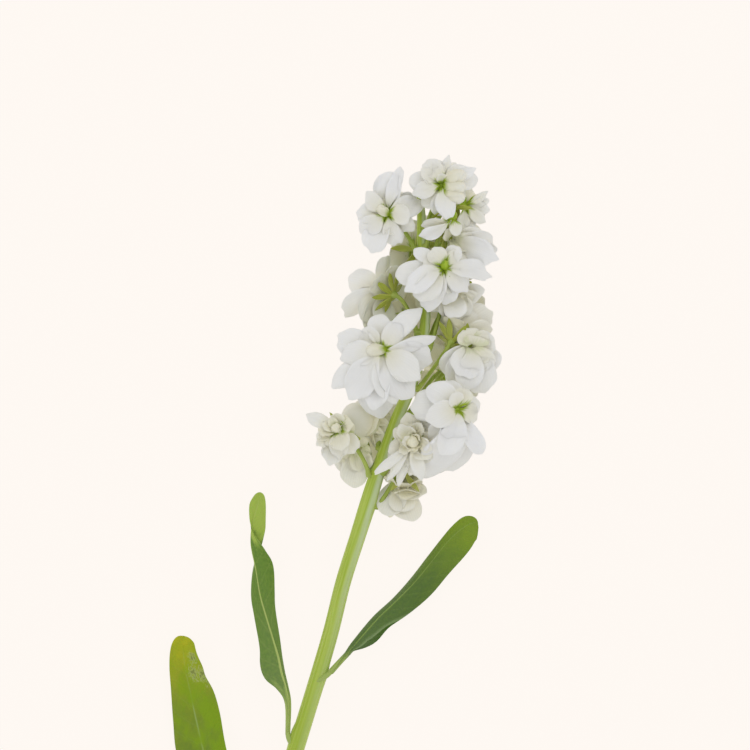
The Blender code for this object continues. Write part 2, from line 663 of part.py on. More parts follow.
def bloom_shapes(name, clearance):
    """A floret's heart and the petals that grow from it."""
    centre, facing, _, tips = FLORETS[name]
    centre, axis = Vector(centre), Vector(facing).normalized()
    owner = "bloom_" + name
    rng = random.Random(SEED + int(name))
    shapes = [lump(centre, axis, HEART_RADIUS, HEART_LENGTH, 8)]
    if name == BALLED:
        shapes.append(ball(centre, axis))
    wanted = outer_tips(tips, axis, rng)
    if name in SHOWN_MIDDLES:
        wanted += inner_tips(axis, rng)
    own = []
    for tip, width in wanted:
        petal = settled(centre, axis, tip, width, owner, clearance, own)
        if petal:
            shapes.append(petal_blade(petal))
            own.append(BVHTree.FromPolygons(*shapes[-1]))
            clearance.add(owner, shapes[-1])
    return shapes


def sepal_shapes(name, clearance):
    """The sepals, spread from the cup behind the floret's petals."""
    centre, facing, _, _ = FLORETS[name]
    axis = Vector(facing).normalized()
    base = Vector(centre) - axis * (HEART_LENGTH + GAP + 0.45 * CUP_DEPTH)
    owner = "calyx_" + name
    rng = random.Random(SEED + 50 + int(name))
    shapes = []
    for out in round_axis(axis, SEPALS.get(name, FEWEST_SEPALS), rng):
        for drop in SEPAL_DROPS:
            tip = base + out * SEPAL_LENGTH + axis * drop
            sepal = Petal(base, axis, tip, SEPAL_WIDTH, SEPAL_CUP, SEPAL_RISE)
            if not clearance.crosses(owner, sepal_blade(sepal, GAP)):
                shapes.append(sepal_blade(sepal))
                clearance.add(owner, shapes[-1])
                break
    return shapes


def place(objects):
    """Turns the layout, then puts the origin under the middle of its footprint."""
    turn = Matrix.Rotation(LEAN, 4, "Z")
    for obj in objects:
        obj.data.transform(turn)
    corners = [vertex.co for obj in objects for vertex in obj.data.vertices]
    low = [min(corner[k] for corner in corners) for k in range(3)]
    high = [max(corner[k] for corner in corners) for k in range(3)]
    foot = Vector(((low[0] + high[0]) / 2, (low[1] + high[1]) / 2, low[2]))
    for obj in objects:
        obj.data.transform(Matrix.Translation(-foot))


def main():
    clear_scene()
    finish = {name: material(name) for name in COLOURS}
    clearance = Clearance()
    shapes = {"stem": [stem_shape()], "tip_buds": tip_shapes()}
    for name, stations in LEAVES.items():
        last = len(stations) - 1
        rows = [i / last for i in range(last + 1)]
        shapes[name] = [blade(Leaf(stations), rows, 4, LEAF_THICK, RIB_THICK - LEAF_THICK)]
    for name, found in shapes.items():
        for shape in found:
            clearance.add(name, shape)
    stalks = {}
    for name, (centre, facing, y, _) in FLORETS.items():
        centre, axis = Vector(centre), Vector(facing).normalized()
        stalks[name] = seated_stalk(centre, axis, y, clearance)
        clearance.add("calyx_" + name, stalks[name])
        clearance.add("bloom_" + name, lump(centre, axis, HEART_RADIUS, HEART_LENGTH, 8))
        if name == BALLED:
            clearance.add("bloom_" + name, ball(centre, axis))
    for name in FLORETS:
        shapes["bloom_" + name] = bloom_shapes(name, clearance)
    for name in FLORETS:
        shapes["calyx_" + name] = [stalks[name], *sepal_shapes(name, clearance)]
    look = {"stem": "stem", "tip": "bud", "leaf": "leaf", "bloom": "petal", "calyx": "calyx"}
    place([node(name, found, finish[look[name.split("_")[0]]]) for name, found in shapes.items()])


main()
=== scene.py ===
"""Looks for a cut stem of white double stock, Matthiola incana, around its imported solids.

The layout is the one that the solids come from, in millimetres, x to the right, y up the flower
head and z up from the floor. Each petal finds its place by the same rule as its solid, and then
gets its full form: a rounded, ruffled blade as thin as a real one, with veins and a green claw.
HOME carries the layout to the frame.
"""

import math
import random

import bpy
from mathutils import Matrix, Vector
from mathutils.bvhtree import BVHTree


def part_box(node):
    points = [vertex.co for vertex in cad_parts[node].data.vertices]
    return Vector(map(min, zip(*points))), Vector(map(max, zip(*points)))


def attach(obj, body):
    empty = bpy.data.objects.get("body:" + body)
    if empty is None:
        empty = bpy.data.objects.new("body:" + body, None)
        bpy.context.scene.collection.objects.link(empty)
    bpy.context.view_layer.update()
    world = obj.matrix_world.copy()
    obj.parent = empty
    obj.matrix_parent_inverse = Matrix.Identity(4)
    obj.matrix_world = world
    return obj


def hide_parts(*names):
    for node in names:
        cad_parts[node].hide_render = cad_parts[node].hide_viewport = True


MM = 0.001
# How far the layout is turned in the frame.
LEAN = math.radians(14.2)
# The least room between two solids.
GAP = 0.35
SEED = 11

# Centre line and radius of the main stem, from the cut end to the growing tip.
STEM = [
    (-75.6, -299.3, 4.5, 4.1),
    (-65.3, -263.3, 7.0, 4.0),
    (-49.5, -211.5, 11.0, 3.9),
    (-35.6, -168.8, 14.4, 3.8),
    (-21.2, -121.0, 18.2, 3.6),
    (-14.4, -94.0, 20.2, 3.5),
    (-8.1, -73.8, 21.8, 3.5),
    (-1.8, -53.6, 23.4, 3.5),
    (4.5, -34.7, 24.6, 2.9),
    (9.5, -20.7, 25.4, 2.7),
    (14.6, -8.5, 26.0, 2.6),
    (20.2, 6.8, 26.8, 2.4),
    (22.4, 20.3, 27.2, 2.3),
    (22.9, 33.8, 27.4, 2.2),
    (22.0, 47.3, 27.8, 2.1),
    (20.8, 60.8, 28.4, 2.0),
    (20.9, 71.5, 29.0, 1.9),
    (20.2, 80.5, 29.8, 1.5),
]

# Each leaf, from the stem to its tip. A station is the midrib's x, y, z, then the left and the
# right margin as a step to the right of the midrib and a step up from it. Where both margins
# lie on one side, the leaf is folded along its midrib.
LEAVES = {
    "leaf_left": [
        (-39.4, -162.6, 15.8, -1.1, 0.2, 1.1, 0.2),
        (-39.4, -148.5, 15.4, -1.3, 0.6, 1.4, -0.4),
        (-40.2, -141.3, 14.6, -4.2, 0.8, 0.9, -0.6),
        (-41.9, -134.6, 13.6, -8.6, 1.0, 1.0, -0.8),
        (-43.4, -127.8, 12.4, -9.0, 0.6, 1.3, -1.2),
        (-45.8, -120.5, 11.2, -6.9, 0.6, 2.8, -1.8),
        (-50.0, -107.6, 9.6, -5.0, 0.8, 5.0, -2.4),
        (-52.4, -99.0, 9.4, -3.8, 0.4, 7.0, -1.8),
        (-54.2, -87.5, 10.0, -0.8, -1.6, 8.2, -0.6),
        (-55.3, -80.6, 11.0, 3.0, -2.4, 6.0, 1.0),
        (-56.0, -74.0, 11.8, 5.4, -1.8, 2.6, 1.8),
        (-55.6, -67.5, 12.0, 6.2, -0.8, -0.8, 1.0),
        (-53.4, -60.0, 12.2, 4.2, 0.4, -3.6, 0.4),
        (-52.3, -55.2, 12.4, 2.6, 0.4, -2.6, 0.4),
        (-52.0, -53.0, 12.4, 1.0, 0.0, -1.0, 0.0),
    ],
    "leaf_right": [
        (-20.6, -134.6, 20.6, -0.9, 0.9, 1.1, -0.9),
        (-13.6, -126.5, 18.2, -0.8, 0.6, 1.5, -1.0),
        (-8.6, -120.8, 16.4, -1.3, -0.8, 3.3, -2.2),
        (0.5, -110.8, 13.4, -1.8, -2.2, 6.0, -2.8),
        (9.5, -102.3, 11.4, -1.6, -2.8, 8.2, -2.2),
        (18.2, -93.5, 10.2, -2.2, -2.6, 9.4, -1.4),
        (25.6, -84.5, 9.6, -2.6, -2.2, 9.6, -0.8),
        (32.0, -76.5, 9.2, -2.8, -1.8, 10.2, 0.0),
        (37.6, -71.0, 8.8, -3.6, -1.0, 9.4, 0.6),
        (42.6, -67.6, 8.4, -4.0, -0.2, 7.0, 0.8),
        (46.6, -66.4, 8.2, -1.6, 0.0, 3.0, 0.2),
    ],
    "leaf_lower": [
        (-61.5, -239.6, 12.9, -1.1, 0.2, 0.8, 0.2),
        (-64.9, -224.5, 11.2, -2.8, 0.8, 2.8, 0.8),
        (-69.2, -206.0, 9.0, -7.6, 1.2, 6.8, 1.4),
        (-73.6, -187.5, 7.0, -11.4, 1.0, 9.8, 1.6),
        (-78.2, -168.5, 6.0, -12.2, 0.6, 10.4, 1.4),
        (-81.4, -155.0, 5.6, -10.4, 0.4, 11.2, 0.8),
        (-84.3, -141.5, 5.4, -8.4, 0.6, 10.4, 0.8),
        (-86.2, -132.5, 5.5, -7.1, 1.0, 8.6, 1.0),
        (-87.0, -125.5, 5.8, -6.0, 1.0, 6.6, 0.8),
        (-87.0, -121.0, 6.0, -4.6, 0.6, 5.0, 0.4),
        (-86.6, -118.3, 6.0, -2.2, 0.2, 2.4, 0.2),
    ],
}

# Each floret: centre, the way its face points, the height on the stem where its stalk leaves,
# and its outer petals as the tip's place from the centre and the petal's width.
FLORETS = {
    "01": ((5.6, 72.5, 39.0), (-0.2, 0.0, 0.98), 56.0, [
        (2.2, 18.5, 0.5, 11.0), (6.9, 20.5, -3.0, 5.0), (-8.3, 8.8, -1.5, 6.5),
        (-14.0, -0.8, 0.5, 9.5), (-11.5, -9.0, -1.5, 9.0), (-7.1, -17.3, 0.5, 11.0),
        (5.0, -14.7, -1.5, 7.5), (11.2, -6.6, 1.0, 7.5), (15.9, 4.5, -1.0, 8.5),
        (12.0, 6.5, 2.5, 8.0),
    ]),
    "02": ((30.0, 85.0, 42.0), (0.05, 0.1, 0.98), 66.0, [
        (-14.5, 3.0, -1.0, 10.0), (-11.6, -0.8, 2.5, 6.0), (-6.6, 10.6, -3.0, 8.5),
        (3.1, 12.5, 0.5, 4.5), (10.2, 9.1, -1.5, 7.5), (15.2, 2.5, -2.0, 8.5),
        (-2.5, -14.0, 1.5, 8.0), (2.5, -15.5, -0.5, 9.0), (11.5, -4.0, -1.5, 7.0),
        (-12.5, -4.0, -1.5, 8.0), (-2.5, 11.5, -1.0, 5.5), (13.5, 6.0, 0.5, 6.0),
    ]),
    "03": ((39.6, 76.5, 37.0), (0.4, -0.2, 0.88), 63.0, [
        (11.5, 1.5, 1.0, 5.0), (9.4, 5.8, -1.0, 4.0), (11.5, -2.5, -1.0, 5.5), (9.0, -8.0, 0.0, 5.5),
        (3.5, -12.0, 1.0, 6.0), (-1.0, -11.0, -1.0, 6.5), (2.5, 8.0, -2.0, 7.0),
    ]),
    "04": ((34.5, 71.0, 45.0), (0.1, -0.75, 0.65), 58.0, [
        (-2.4, -8.5, 1.0, 5.0), (2.2, -8.5, 1.5, 5.0), (0.0, -7.0, -3.0, 5.0),
        (-14.8, -3.7, -3.0, 5.5),
    ]),
    "05": ((35.0, 60.5, 39.0), (0.6, -0.4, 0.7), 46.0, [
        (13.6, 2.2, -3.0, 8.0), (18.1, -0.9, -1.0, 9.0), (18.6, -5.0, 1.0, 9.0),
        (16.0, -9.0, -2.0, 9.5), (11.5, -13.5, -1.0, 10.0), (5.2, -12.0, 2.0, 8.5),
        (-2.7, -10.3, 0.0, 9.0), (13.0, -5.1, 6.0, 9.0), (8.9, -1.4, 6.5, 8.0),
    ]),
    "06": ((30.9, 47.4, 45.0), (0.0, 0.25, 0.97), 30.0, [
        (-22.0, -2.5, 0.5, 9.5), (-13.9, 8.8, 1.5, 5.5), (-10.0, 2.0, 4.5, 5.5),
        (-16.0, -10.5, 1.5, 9.0), (-8.3, -18.5, -3.0, 9.0), (0.8, -14.5, 2.5, 9.5),
        (9.8, -10.0, 0.5, 9.5), (15.6, 1.0, 2.5, 7.5), (19.5, -3.7, -0.5, 8.5),
        (-5.0, 8.0, -1.0, 9.0), (6.0, 8.5, -2.0, 8.0),
    ]),
    "07": ((4.8, 38.2, 31.0), (-0.72, 0.4, -0.5), 19.0, [
        (-19.5, -10.0, -4.0, 16.0), (-16.0, 5.0, -3.0, 15.0), (-1.0, 15.5, -3.0, 13.0),
        (7.5, 12.0, -6.0, 11.0), (-9.5, -17.0, -5.0, 14.0), (1.5, -16.5, -8.0, 13.0),
        (-9.0, -6.0, 3.0, 10.0),
    ]),
    "08": ((3.7, 11.3, 43.5), (-0.1, 0.0, 1.0), -6.0, [
        (16.5, 17.0, 3.0, 8.0), (-2.6, 15.8, -1.0, 9.0), (-20.0, 4.8, 0.0, 11.0),
        (-21.5, -15.5, -1.0, 10.0), (-14.5, -21.0, -3.0, 12.0), (-4.6, -25.5, 3.0, 10.0),
        (11.0, -20.5, 0.5, 13.0), (21.5, -5.5, 1.0, 12.5), (23.5, 5.0, -0.5, 5.5),
        (-2.5, -29.0, -4.5, 14.0), (7.5, 13.0, -3.0, 8.0),
    ]),
    "09": ((36.1, 17.5, 31.0), (0.4, 0.6, -0.69), -5.0, [
        (17.0, 3.0, -3.0, 9.0), (16.0, 11.0, -4.0, 10.0), (10.0, 14.5, -3.0, 10.0),
        (-2.0, 14.5, -4.0, 11.0), (-10.5, 8.5, -4.0, 10.5), (-10.5, -1.5, -6.0, 10.0),
        (8.0, -6.0, -8.0, 10.0),
    ]),
    "10": ((43.0, 13.0, 34.5), (0.25, -0.1, 0.95), -22.0, [
        (10.5, -11.5, -1.0, 14.0), (4.5, -20.5, 0.0, 14.0), (-3.0, -18.5, 1.5, 12.0),
        (-13.0, -12.5, 1.0, 14.0), (-9.0, -17.0, 4.0, 12.0), (10.0, 1.5, -1.0, 12.0),
        (1.0, 5.0, 0.0, 12.0),
    ]),
    "11": ((36.4, -15.3, 44.0), (0.4, 0.05, 0.9), -28.0, [
        (-20.5, 0.5, 2.0, 14.5), (-15.0, 9.0, -1.0, 12.0), (-5.0, 13.0, -2.0, 9.0),
        (-6.5, -20.0, 5.5, 11.0), (11.5, -20.0, 0.5, 7.5), (-2.0, -29.5, -10.0, 14.0),
        (-14.5, -33.0, -11.0, 14.0), (11.1, 1.9, -1.0, 9.5), (5.0, 9.0, -2.0, 9.0),
        (-16.0, -9.0, -2.0, 12.0), (-4.0, 7.0, 1.5, 8.0),
    ]),
    "12": ((17.9, -29.0, 39.0), (-0.2, -0.15, 0.95), -43.0, [
        (-11.4, -5.2, 3.0, 9.5), (-16.9, -14.3, 1.0, 4.5), (-11.5, -17.0, 0.0, 4.0),
        (-7.1, -20.8, -1.0, 5.0), (-1.5, -16.5, 2.0, 7.0), (3.5, -16.0, 0.0, 6.5),
        (-8.8, 4.6, 0.0, 8.0), (-3.2, 11.1, 1.0, 10.0), (6.5, 6.5, -1.0, 9.0),
        (8.0, -9.0, -1.0, 9.0),
    ]),
    "13": ((-15.6, -25.0, 35.0), (-0.35, 0.25, 0.9), -46.0, [
        (-14.9, 7.5, 0.0, 5.5), (-9.9, -6.0, 1.0, 8.0), (-4.5, -14.5, 1.0, 8.5),
        (2.0, -13.5, -1.0, 9.0), (7.5, -9.5, 2.0, 9.0), (-1.0, 8.0, 2.0, 7.0), (5.5, 2.5, 1.0, 8.0),
    ]),
    "14": ((-6.5, -32.5, 19.5), (-0.25, -0.35, 0.9), -43.0, [
        (-4.0, -18.0, 1.0, 12.5), (-10.5, -10.5, 0.0, 11.0), (4.0, -16.5, -2.0, 11.0),
        (9.5, -3.0, -5.0, 12.0), (8.5, -11.0, -4.0, 12.0), (-1.5, -11.5, 4.5, 11.0),
    ]),
    "15": ((12.5, -47.5, 24.0), (-0.1, -0.8, -0.6), -58.0, [
        (-13.0, -8.0, 1.0, 13.0), (-7.5, -14.0, 3.0, 14.0), (4.5, -16.5, 3.5, 14.5),
        (-1.5, -12.0, 6.5, 12.0), (9.5, -9.5, 2.0, 12.0), (-6.0, -10.0, -6.0, 12.0),
        (5.0, -9.0, -7.0, 12.0),
    ]),
    "16": ((32.0, 58.0, 16.5), (0.45, 0.0, -0.85), 43.0, []),
    "17": ((17.0, 57.0, 15.5), (-0.3, 0.1, -0.9), 39.0, [
        (-9.0, 5.0, 2.0, 10.0), (-9.5, -7.0, 2.0, 11.0), (-2.0, 13.5, 1.0, 11.0),
        (8.0, 9.0, -3.0, 11.0), (7.0, -9.0, -3.0, 11.0), (-2.0, -14.0, 1.0, 11.0),
    ]),
    "18": ((34.5, 39.0, 33.0), (0.1, -0.6, 0.7), 12.0, [
        (-9.5, -9.5, 1.0, 12.0), (-3.0, -13.0, 1.0, 12.0), (5.0, -13.0, 1.0, 12.5),
        (12.0, -7.5, 0.0, 12.0), (13.5, 0.5, -1.0, 10.0), (-12.0, -1.5, -1.0, 11.0),
        (2.0, -8.0, 5.0, 10.0),
    ]),
    "19": ((13.0, 26.5, 14.0), (-0.4, 0.1, -0.9), 12.0, []),
    "20": ((31.0, 0.0, 14.0), (0.45, 0.0, -0.9), -20.0, []),
    "21": ((8.0, -31.0, 11.5), (0.2, -0.1, -0.95), -40.0, []),
    "22": ((31.0, 82.0, 17.0), (0.3, 0.5, -0.8), 61.0, [
        (-7.5, 3.0, 1.0, 10.0), (-3.0, 13.0, -2.0, 11.0), (9.0, 11.0, -2.0, 11.0),
        (14.0, -1.0, 1.0, 11.0), (7.0, -11.0, 4.0, 11.0), (-4.0, -9.0, 3.0, 10.0),
    ]),
    "23": ((33.0, 26.0, 14.0), (0.4, -0.1, -0.9), 14.0, []),
    "24": ((-0.3, -22.3, 21.2), (-0.88, 0.28, 0.35), -34.0, [
        (3.5, -12.0, -4.0, 13.0), (-9.0, 9.5, -2.0, 12.0), (9.5, 8.0, -8.0, 12.0),
    ]),
}
# The florets behind the head, which are made by rule, and how many outer petals the rule gives.
HIDDEN = ("16", "17", "19", "20", "21", "22", "23")
HIDDEN_PETALS = 6
# The florets that show their middle have small petals standing there.
SHOWN_MIDDLES = ("01", "02", "06", "08")
INNER_PETALS = 2
INNER_WIDTH = 5.0
# How many sepals a floret has. Those that show their back have most, and petals cover the rest of
# those that have fewer than usual.
SEPALS = {"07": 8, "09": 8, "13": 3, "15": 5, "19": 0, "20": 0, "21": 0, "23": 2, "24": 0}
USUAL_SEPALS = 4
SEPAL_LENGTH = 9.5
SEPAL_WIDTH = 2.8

STEM_SIDES = 10
STEM_RIB = 0.06
CUT_SLANT = 0.8
STALK_SIDES = 5
STALK_RADIUS = 1.15
CUP_RADIUS = 2.0
CUP_DEPTH = 3.6
HEART_RADIUS = 3.0
HEART_LENGTH = 3.0
# The floret whose petals close into a ball, and that ball.
BALLED = "24"
BALL_RADIUS = 7.8
BALL_LENGTH = 9.4
BUDS = 6
BUD_RADIUS = 1.5
BUD_LENGTH = 3.0
# The share of a turn from one bud of the growing tip to the next.
BUD_TURN = 0.382
# How far a bud's middle stands off the knob.
BUD_REACH = 1.8
KNOB_RADIUS = 2.2
KNOB_LENGTH = 2.4

# A petal is widest at WIDEST of its length. Its claw and tip are these shares of that width.
WIDEST = 0.6
CLAW = 0.2
TIP_WIDTH = 0.4
PETAL_CUP = 0.28
PETAL_RISE = 0.3
SEPAL_CUP = 0.2
SEPAL_RISE = 0.12
# How far along the floret's axis from its centre a petal can grow.
WHORLS = (-1.8, -0.6, 0.6, 1.8)
# What a petal tries so as to cross nothing: moves along that axis, then sizes.
MOVES = (0, 1.5, -1.5, 3, -3, 4.5, -4.5, 6, -6)
SIZES = (1.0, 0.86, 0.72, 0.6)
SEPAL_DROPS = (4.5, 3, 1.5, 0, -1.5, -3, -5)

# The rows and the thickness of a petal and a sepal in the solids.
PETAL_SOLID = ((0.0, 0.33, 0.72, 1.0), 0.8)
SEPAL_SOLID = ((0.0, 0.55, 1.0), 1.0)
LEAF_THICK = 0.9
RIB_THICK = 2.2

# Petals bend along the surface from this height down, and keep this far off it.
FLOOR_BEND = 2.5
FLOOR_CLEAR = 0.5

# Thickness of the real tissue.
PETAL_REAL = 0.3
SEPAL_REAL = 0.6
SPUR_REAL = 0.4
HOOK_REAL = 0.5
LEAF_REAL = 0.6
PETIOLE_REAL = 1.9
MIDRIB_REAL = 0.7
# How a leaf's stalk runs down into the stem: steps back along the stalk and in towards the stem.
CLASP_PATH = [(2.0, 0.0), (-1.0, 0.0), (-3.0, 0.8), (-6.0, 3.0)]
CLASP_RADIUS = 1.0

# Rows and columns of the full forms.
PETAL_GRID = (14, 14)
SEPAL_GRID = (12, 8)
LEAF_GRID = (72, 24)
STEM_GRID = (200, 40)
STALK_GRID = (22, 10)
CUP_ROWS = 5
CLASP_ROWS = 10
BUD_GRID = (10, 12)
FURLED_GRID = (18, 40)
FLUTED_GRID = (20, 24)

# How wide a full petal is to its solid, and how wide its claw is to that: in a floret whose
# middle doesn't show, and in an open one.
SHUT_PETAL = (1.35, 0.4)
OPEN_PETAL = (1.22, 0.12)
# The same for small petals, and for those that close over a middle.
SMALL_PETAL = (1.0, 0.12)
MANTLE_PETAL = (1.0, 0.45)
# The florets whose petals are wider or narrower than that.
OWN_WIDTHS = {"02": 1.05, "03": 1.0, "12": 1.0, "15": 1.55}
# The most that a petal's width may be of its length.
BROADEST = 0.72
# The florets with broad, calm petals, and how much of the usual ruffle these have.
CALM = ("07", "09", "10", "11", "14", "15", "24")
CALMER = 0.35
# Petals that reach less far than this stand in the middle of their floret.
OUTER_FROM = 9.0

# What stands in the eye of each floret whose petals don't close over it.
EYES = {
    "01": "bud", "02": "folds", "03": "slit", "04": "slit", "06": "pistil", "08": "bud",
    "11": "slit", "12": "tuft", "13": "tuft", **dict.fromkeys(HIDDEN, "tuft"),
}
# The buds of furled petals in an eye: where each stands from the middle of its floret, how far it
# leans from the floret's axis, and how long it is.
EYE_BUDS = {
    "01": [((0, 0, 0), (-0.5, 0.5, 0), 8.0)],
    "08": [((0, 0, 0), (-2.0, -0.1, 0), 10.0)],
    "02": [
        ((2.6, -3.4, 1.0), (1.2, -0.8, 0), 11.5),
        ((2.6, -0.5, 1.0), (1.2, -0.3, 0), 11.5),
        ((2.6, 2.4, 1.0), (1.2, 0.2, 0), 11.5),
    ],
}
BUD_SLIMNESS = 0.58
BUD_TONE = 0.42
# How many petal margins wind round what is furled, how many of them it winds past from its foot to
# its tip, and how far a margin stands out and the petal under it sinks.
FURLS = 3
FURL_WIND = 1.1
FURL_STEP = 0.6
FURL_SINK = 0.4
# The star of green claws in an eye: how many there are, and how far out they reach.
STARS = {"bud": (9, 5.8), "folds": (9, 4.6), "pistil": (9, 4.6), "slit": (4, 2.4)}
SPUR_WIDTH = 1.5
# The green cushion in a crumpled middle, and in an open eye: how far out along the floret's axis
# it lies, its radius, half its length and its tone.
TUFT_CUSHION = (1.8, 2.2, 2.6, 0.9)
EYE_CUSHION = (-0.6, 2.4, 1.9, 0.3)
# The pistil, half its length, and the claws that curl round it.
PISTIL_RADIUS = 1.9
PISTIL_LENGTH = 3.2
HOOKS = 7
HOOK_WIDTH = 1.3
# What fills a middle: how many crumpled petals, how large of the usual size, how far the lowest
# of them stands up in degrees, and how ruffled they are.
TUFTS = {"12": (14, 1.4, 12, 0.17), "13": (11, 1.05, 20, 0.13)}
USUAL_TUFT = (9, 1.0, 30, 0.11)
# The length and width of the furled heart of a crumpled middle.
HEARTS = {"12": (8.0, 5.6), "13": (6.6, 4.6)}
# The florets whose lowest petals bend back over the cup, how far out these reach, how many there
# are, how wide they are and how far back they go.
BENT_BACK = {"15": 8.5, "24": 6.5}
BACK_PETALS = 7
BACK_WIDTH = 8.0
BACK_DROP = 5.0
# How many petals fill the gaps between and under the outer ones.
FILL_PETALS = {"12": 8, **dict.fromkeys(HIDDEN, 2)}
USUAL_FILL = 5
# The least width of such a petal, and how far out an outer petal has to reach to bound a gap.
FILL_WIDTH = 9.5
RING_FROM = 7.0
# Where a petal that fills a gap looks for room: under the outer ones first.
UNDER_MOVES = (-1.5, -3, -4.5, 0, 1.5)

# How creamy each floret's petals are, where the rest are white. Part of it is painted shade: florets
# that lie deep in the head, under others or facing away are made creamier, for the warm shade there.
CREAM_AND_SHADE = {
    "07": 0.15, "09": 0.45, "10": 0.1, "12": 0.35, "13": 0.35, "14": 0.55, "15": 0.5, "16": 0.5,
    "17": 0.3, "18": 0.2, "19": 0.7, "20": 0.7, "21": 0.7, "22": 0.3, "23": 0.7, "24": 0.5,
}
USUAL_CREAM = 0.05
# How much paler than usual a floret's sepals are, and how far paleness takes them to the colour
# of their margin.
PALE_SEPALS = {"07": 0.1, "15": 0.6}
PALING = 0.6
# Veins across a petal about 12 mm wide, a millimetre apart.
PETAL_VEINS = 12
# How far apart in the noise two shapes lie whose tones differ by 1.
TONE_APART = 37.0
# Over how many pixels a bump is evened out.
BUMP_FILTER = 0.1
# Side veins of a leaf: how far apart they are and how far each runs on towards the tip.
VEIN_SPACING = 8.0
VEIN_SLANT = 9.0
# How each leaf looks: its length, its colours at its foot, in its middle and at its tip, its
# rib's colour and half width at the foot as a share of the leaf's, and the shares of its length
# between which the middle's colour turns to the tip's.
LEAF_LOOKS = {
    "leaf_left": (112.0, "#6f8a45", "#65892b", "#a9c04e", "#bccb72", 0.13, (0.67, 0.76)),
    "leaf_right": (96.0, "#5b7640", "#587332", "#829c24", "#8aa34c", 0.05, (0.5, 0.85)),
    "leaf_lower": (124.0, "#5d7c16", "#668426", "#a3b01a", "#9db462", 0.03, (0.3, 0.9)),
}
# The pale green of a leaf's stalk.
LEAF_STALK = "#aabd66"
# Where the right margin of a leaf is worn away: how far along it, how long the worn place is as a
# share of the leaf, and how deep as a share of its half width. Below nought the margin swells out.
NIBBLES = {
    "leaf_lower": ((0.63, 0.045, 0.13), (0.76, 0.11, 0.12)),
    "leaf_right": ((0.15, 0.03, 0.3), (0.235, 0.05, -0.5), (0.95, 0.05, -0.28)),
}
# The leaf whose right margin curls under: where along it, over what share of it, from how far
# out of its half width, and how far down it goes.
CURLED = "leaf_right"
CURL_AT = 0.235
CURL_REACH = 0.06
CURL_FROM = 0.75
CURL_DROP = 4.0
# The leaf that has grown old, and its dry patches, as shares along it and from its rib to its
# right margin, where it is LEAF_HALF millimetres wide.
OLD = "leaf_lower"
DRY_AT = ((0.76, 0.6), (0.665, 0.42), (0.645, 0.85))
LEAF_HALF = 9.0
# Where round the stem its painted highlight lies, a pale stripe down one side, how far it is even and
# how far it reaches, as shares of a turn, and the millimetres from the cut end over which it comes
# out.
HIGHLIGHT_AT = 0.585
HIGHLIGHT_EVEN = 0.03
HIGHLIGHT_REACH = 0.095
HIGHLIGHT_FROM = (90.0, 170.0)
# The ridge that runs down the stem from each stalk and leaf: its height, its width in radians and
# how far down it fades.
STALK_RIDGE = (0.5, 0.4, 13.0)
LEAF_RIDGE = (0.7, 0.8, 6.0)

# The frame of the photograph, 750 pixels wide: what one pixel shows in the plane of the stem, and
# how high over the floor that plane lies.
FRAME_WIDTH = 750
PIXEL = 0.45
PLANE_HEIGHT = 28.0
LENS = 300.0
SENSOR = 36.0
# Where each light stands, its size in metres, its power and its colour, and the middle of the
# flower head, which all of them face.
LIGHTS = {
    "key": ((350, 500, 1100), 0.7, 2.4, "#fdfcff"),
    "fill": ((-600, -500, 900), 0.9, 1.75, "#f8f8ff"),
}
HEAD_MIDDLE = (20, 20, 20)
SKY = "#f9faff"
SKY_STRENGTH = 0.63
# The paper's colour, and how much of it glows and how much takes shadows.
PAPER = "#fff9f3"
PAPER_GLOW = 0.955
PAPER_SHADE = 0.05
# From the middle of the floor to its margin, in metres.
FLOOR_REACH = 2.0
# Faces that meet at more than this are drawn with a crisp edge, as the two faces of a margin are.
SHARP = math.radians(70)


# Shapes as the solids have them, and the rule that places them


def spline(points, u):
    """A smooth curve through points, each a tuple of any length, read at u from 0 to 1."""
    place = min(max(u, 0.0), 1.0) * (len(points) - 1)
    i = min(int(place), len(points) - 2)
    f = place - i
    before, here = points[max(i - 1, 0)], points[i]
    there, after = points[i + 1], points[min(i + 2, len(points) - 1)]
    curve = []
    for a, b, c, d in zip(before, here, there, after):
        cubic = 3 * (b - c) + d - a
        square = 2 * a - 5 * b + 4 * c - d
        curve.append(b + 0.5 * f * (c - a + f * (square + f * cubic)))
    return curve


def off_the_floor(point):
    """Bends what would sink below the surface, so that it lies along it instead."""
    height = point.z - FLOOR_CLEAR
    if height < FLOOR_BEND:
        height = FLOOR_BEND * math.exp(height / FLOOR_BEND - 1)
    return Vector((point.x, point.y, height + FLOOR_CLEAR))


def across(vector):
    """Two unit vectors square to this one and to each other."""
    up = Vector((0, 0, 1)) if abs(vector.z) < 0.9 else Vector((1, 0, 0))
    first = vector.cross(up).normalized()
    return first, vector.cross(first).normalized()


def squared(vector, axis):
    """What is left of a vector square to the axis."""
    return vector - axis * vector.dot(axis)


def round_axis(axis, count, rng):
    """Unit vectors square to the axis, spread evenly round it but for a small draw."""
    first, second = across(axis)
    for k in range(count):
        turn = 2 * math.pi * (k + 0.3 * rng.random()) / count
        yield first * math.cos(turn) + second * math.sin(turn)


def lifted(out, axis, lift):
    """The unit vector that stands up from out towards the axis by the angle lift."""
    return out * math.cos(lift) + axis * math.sin(lift)


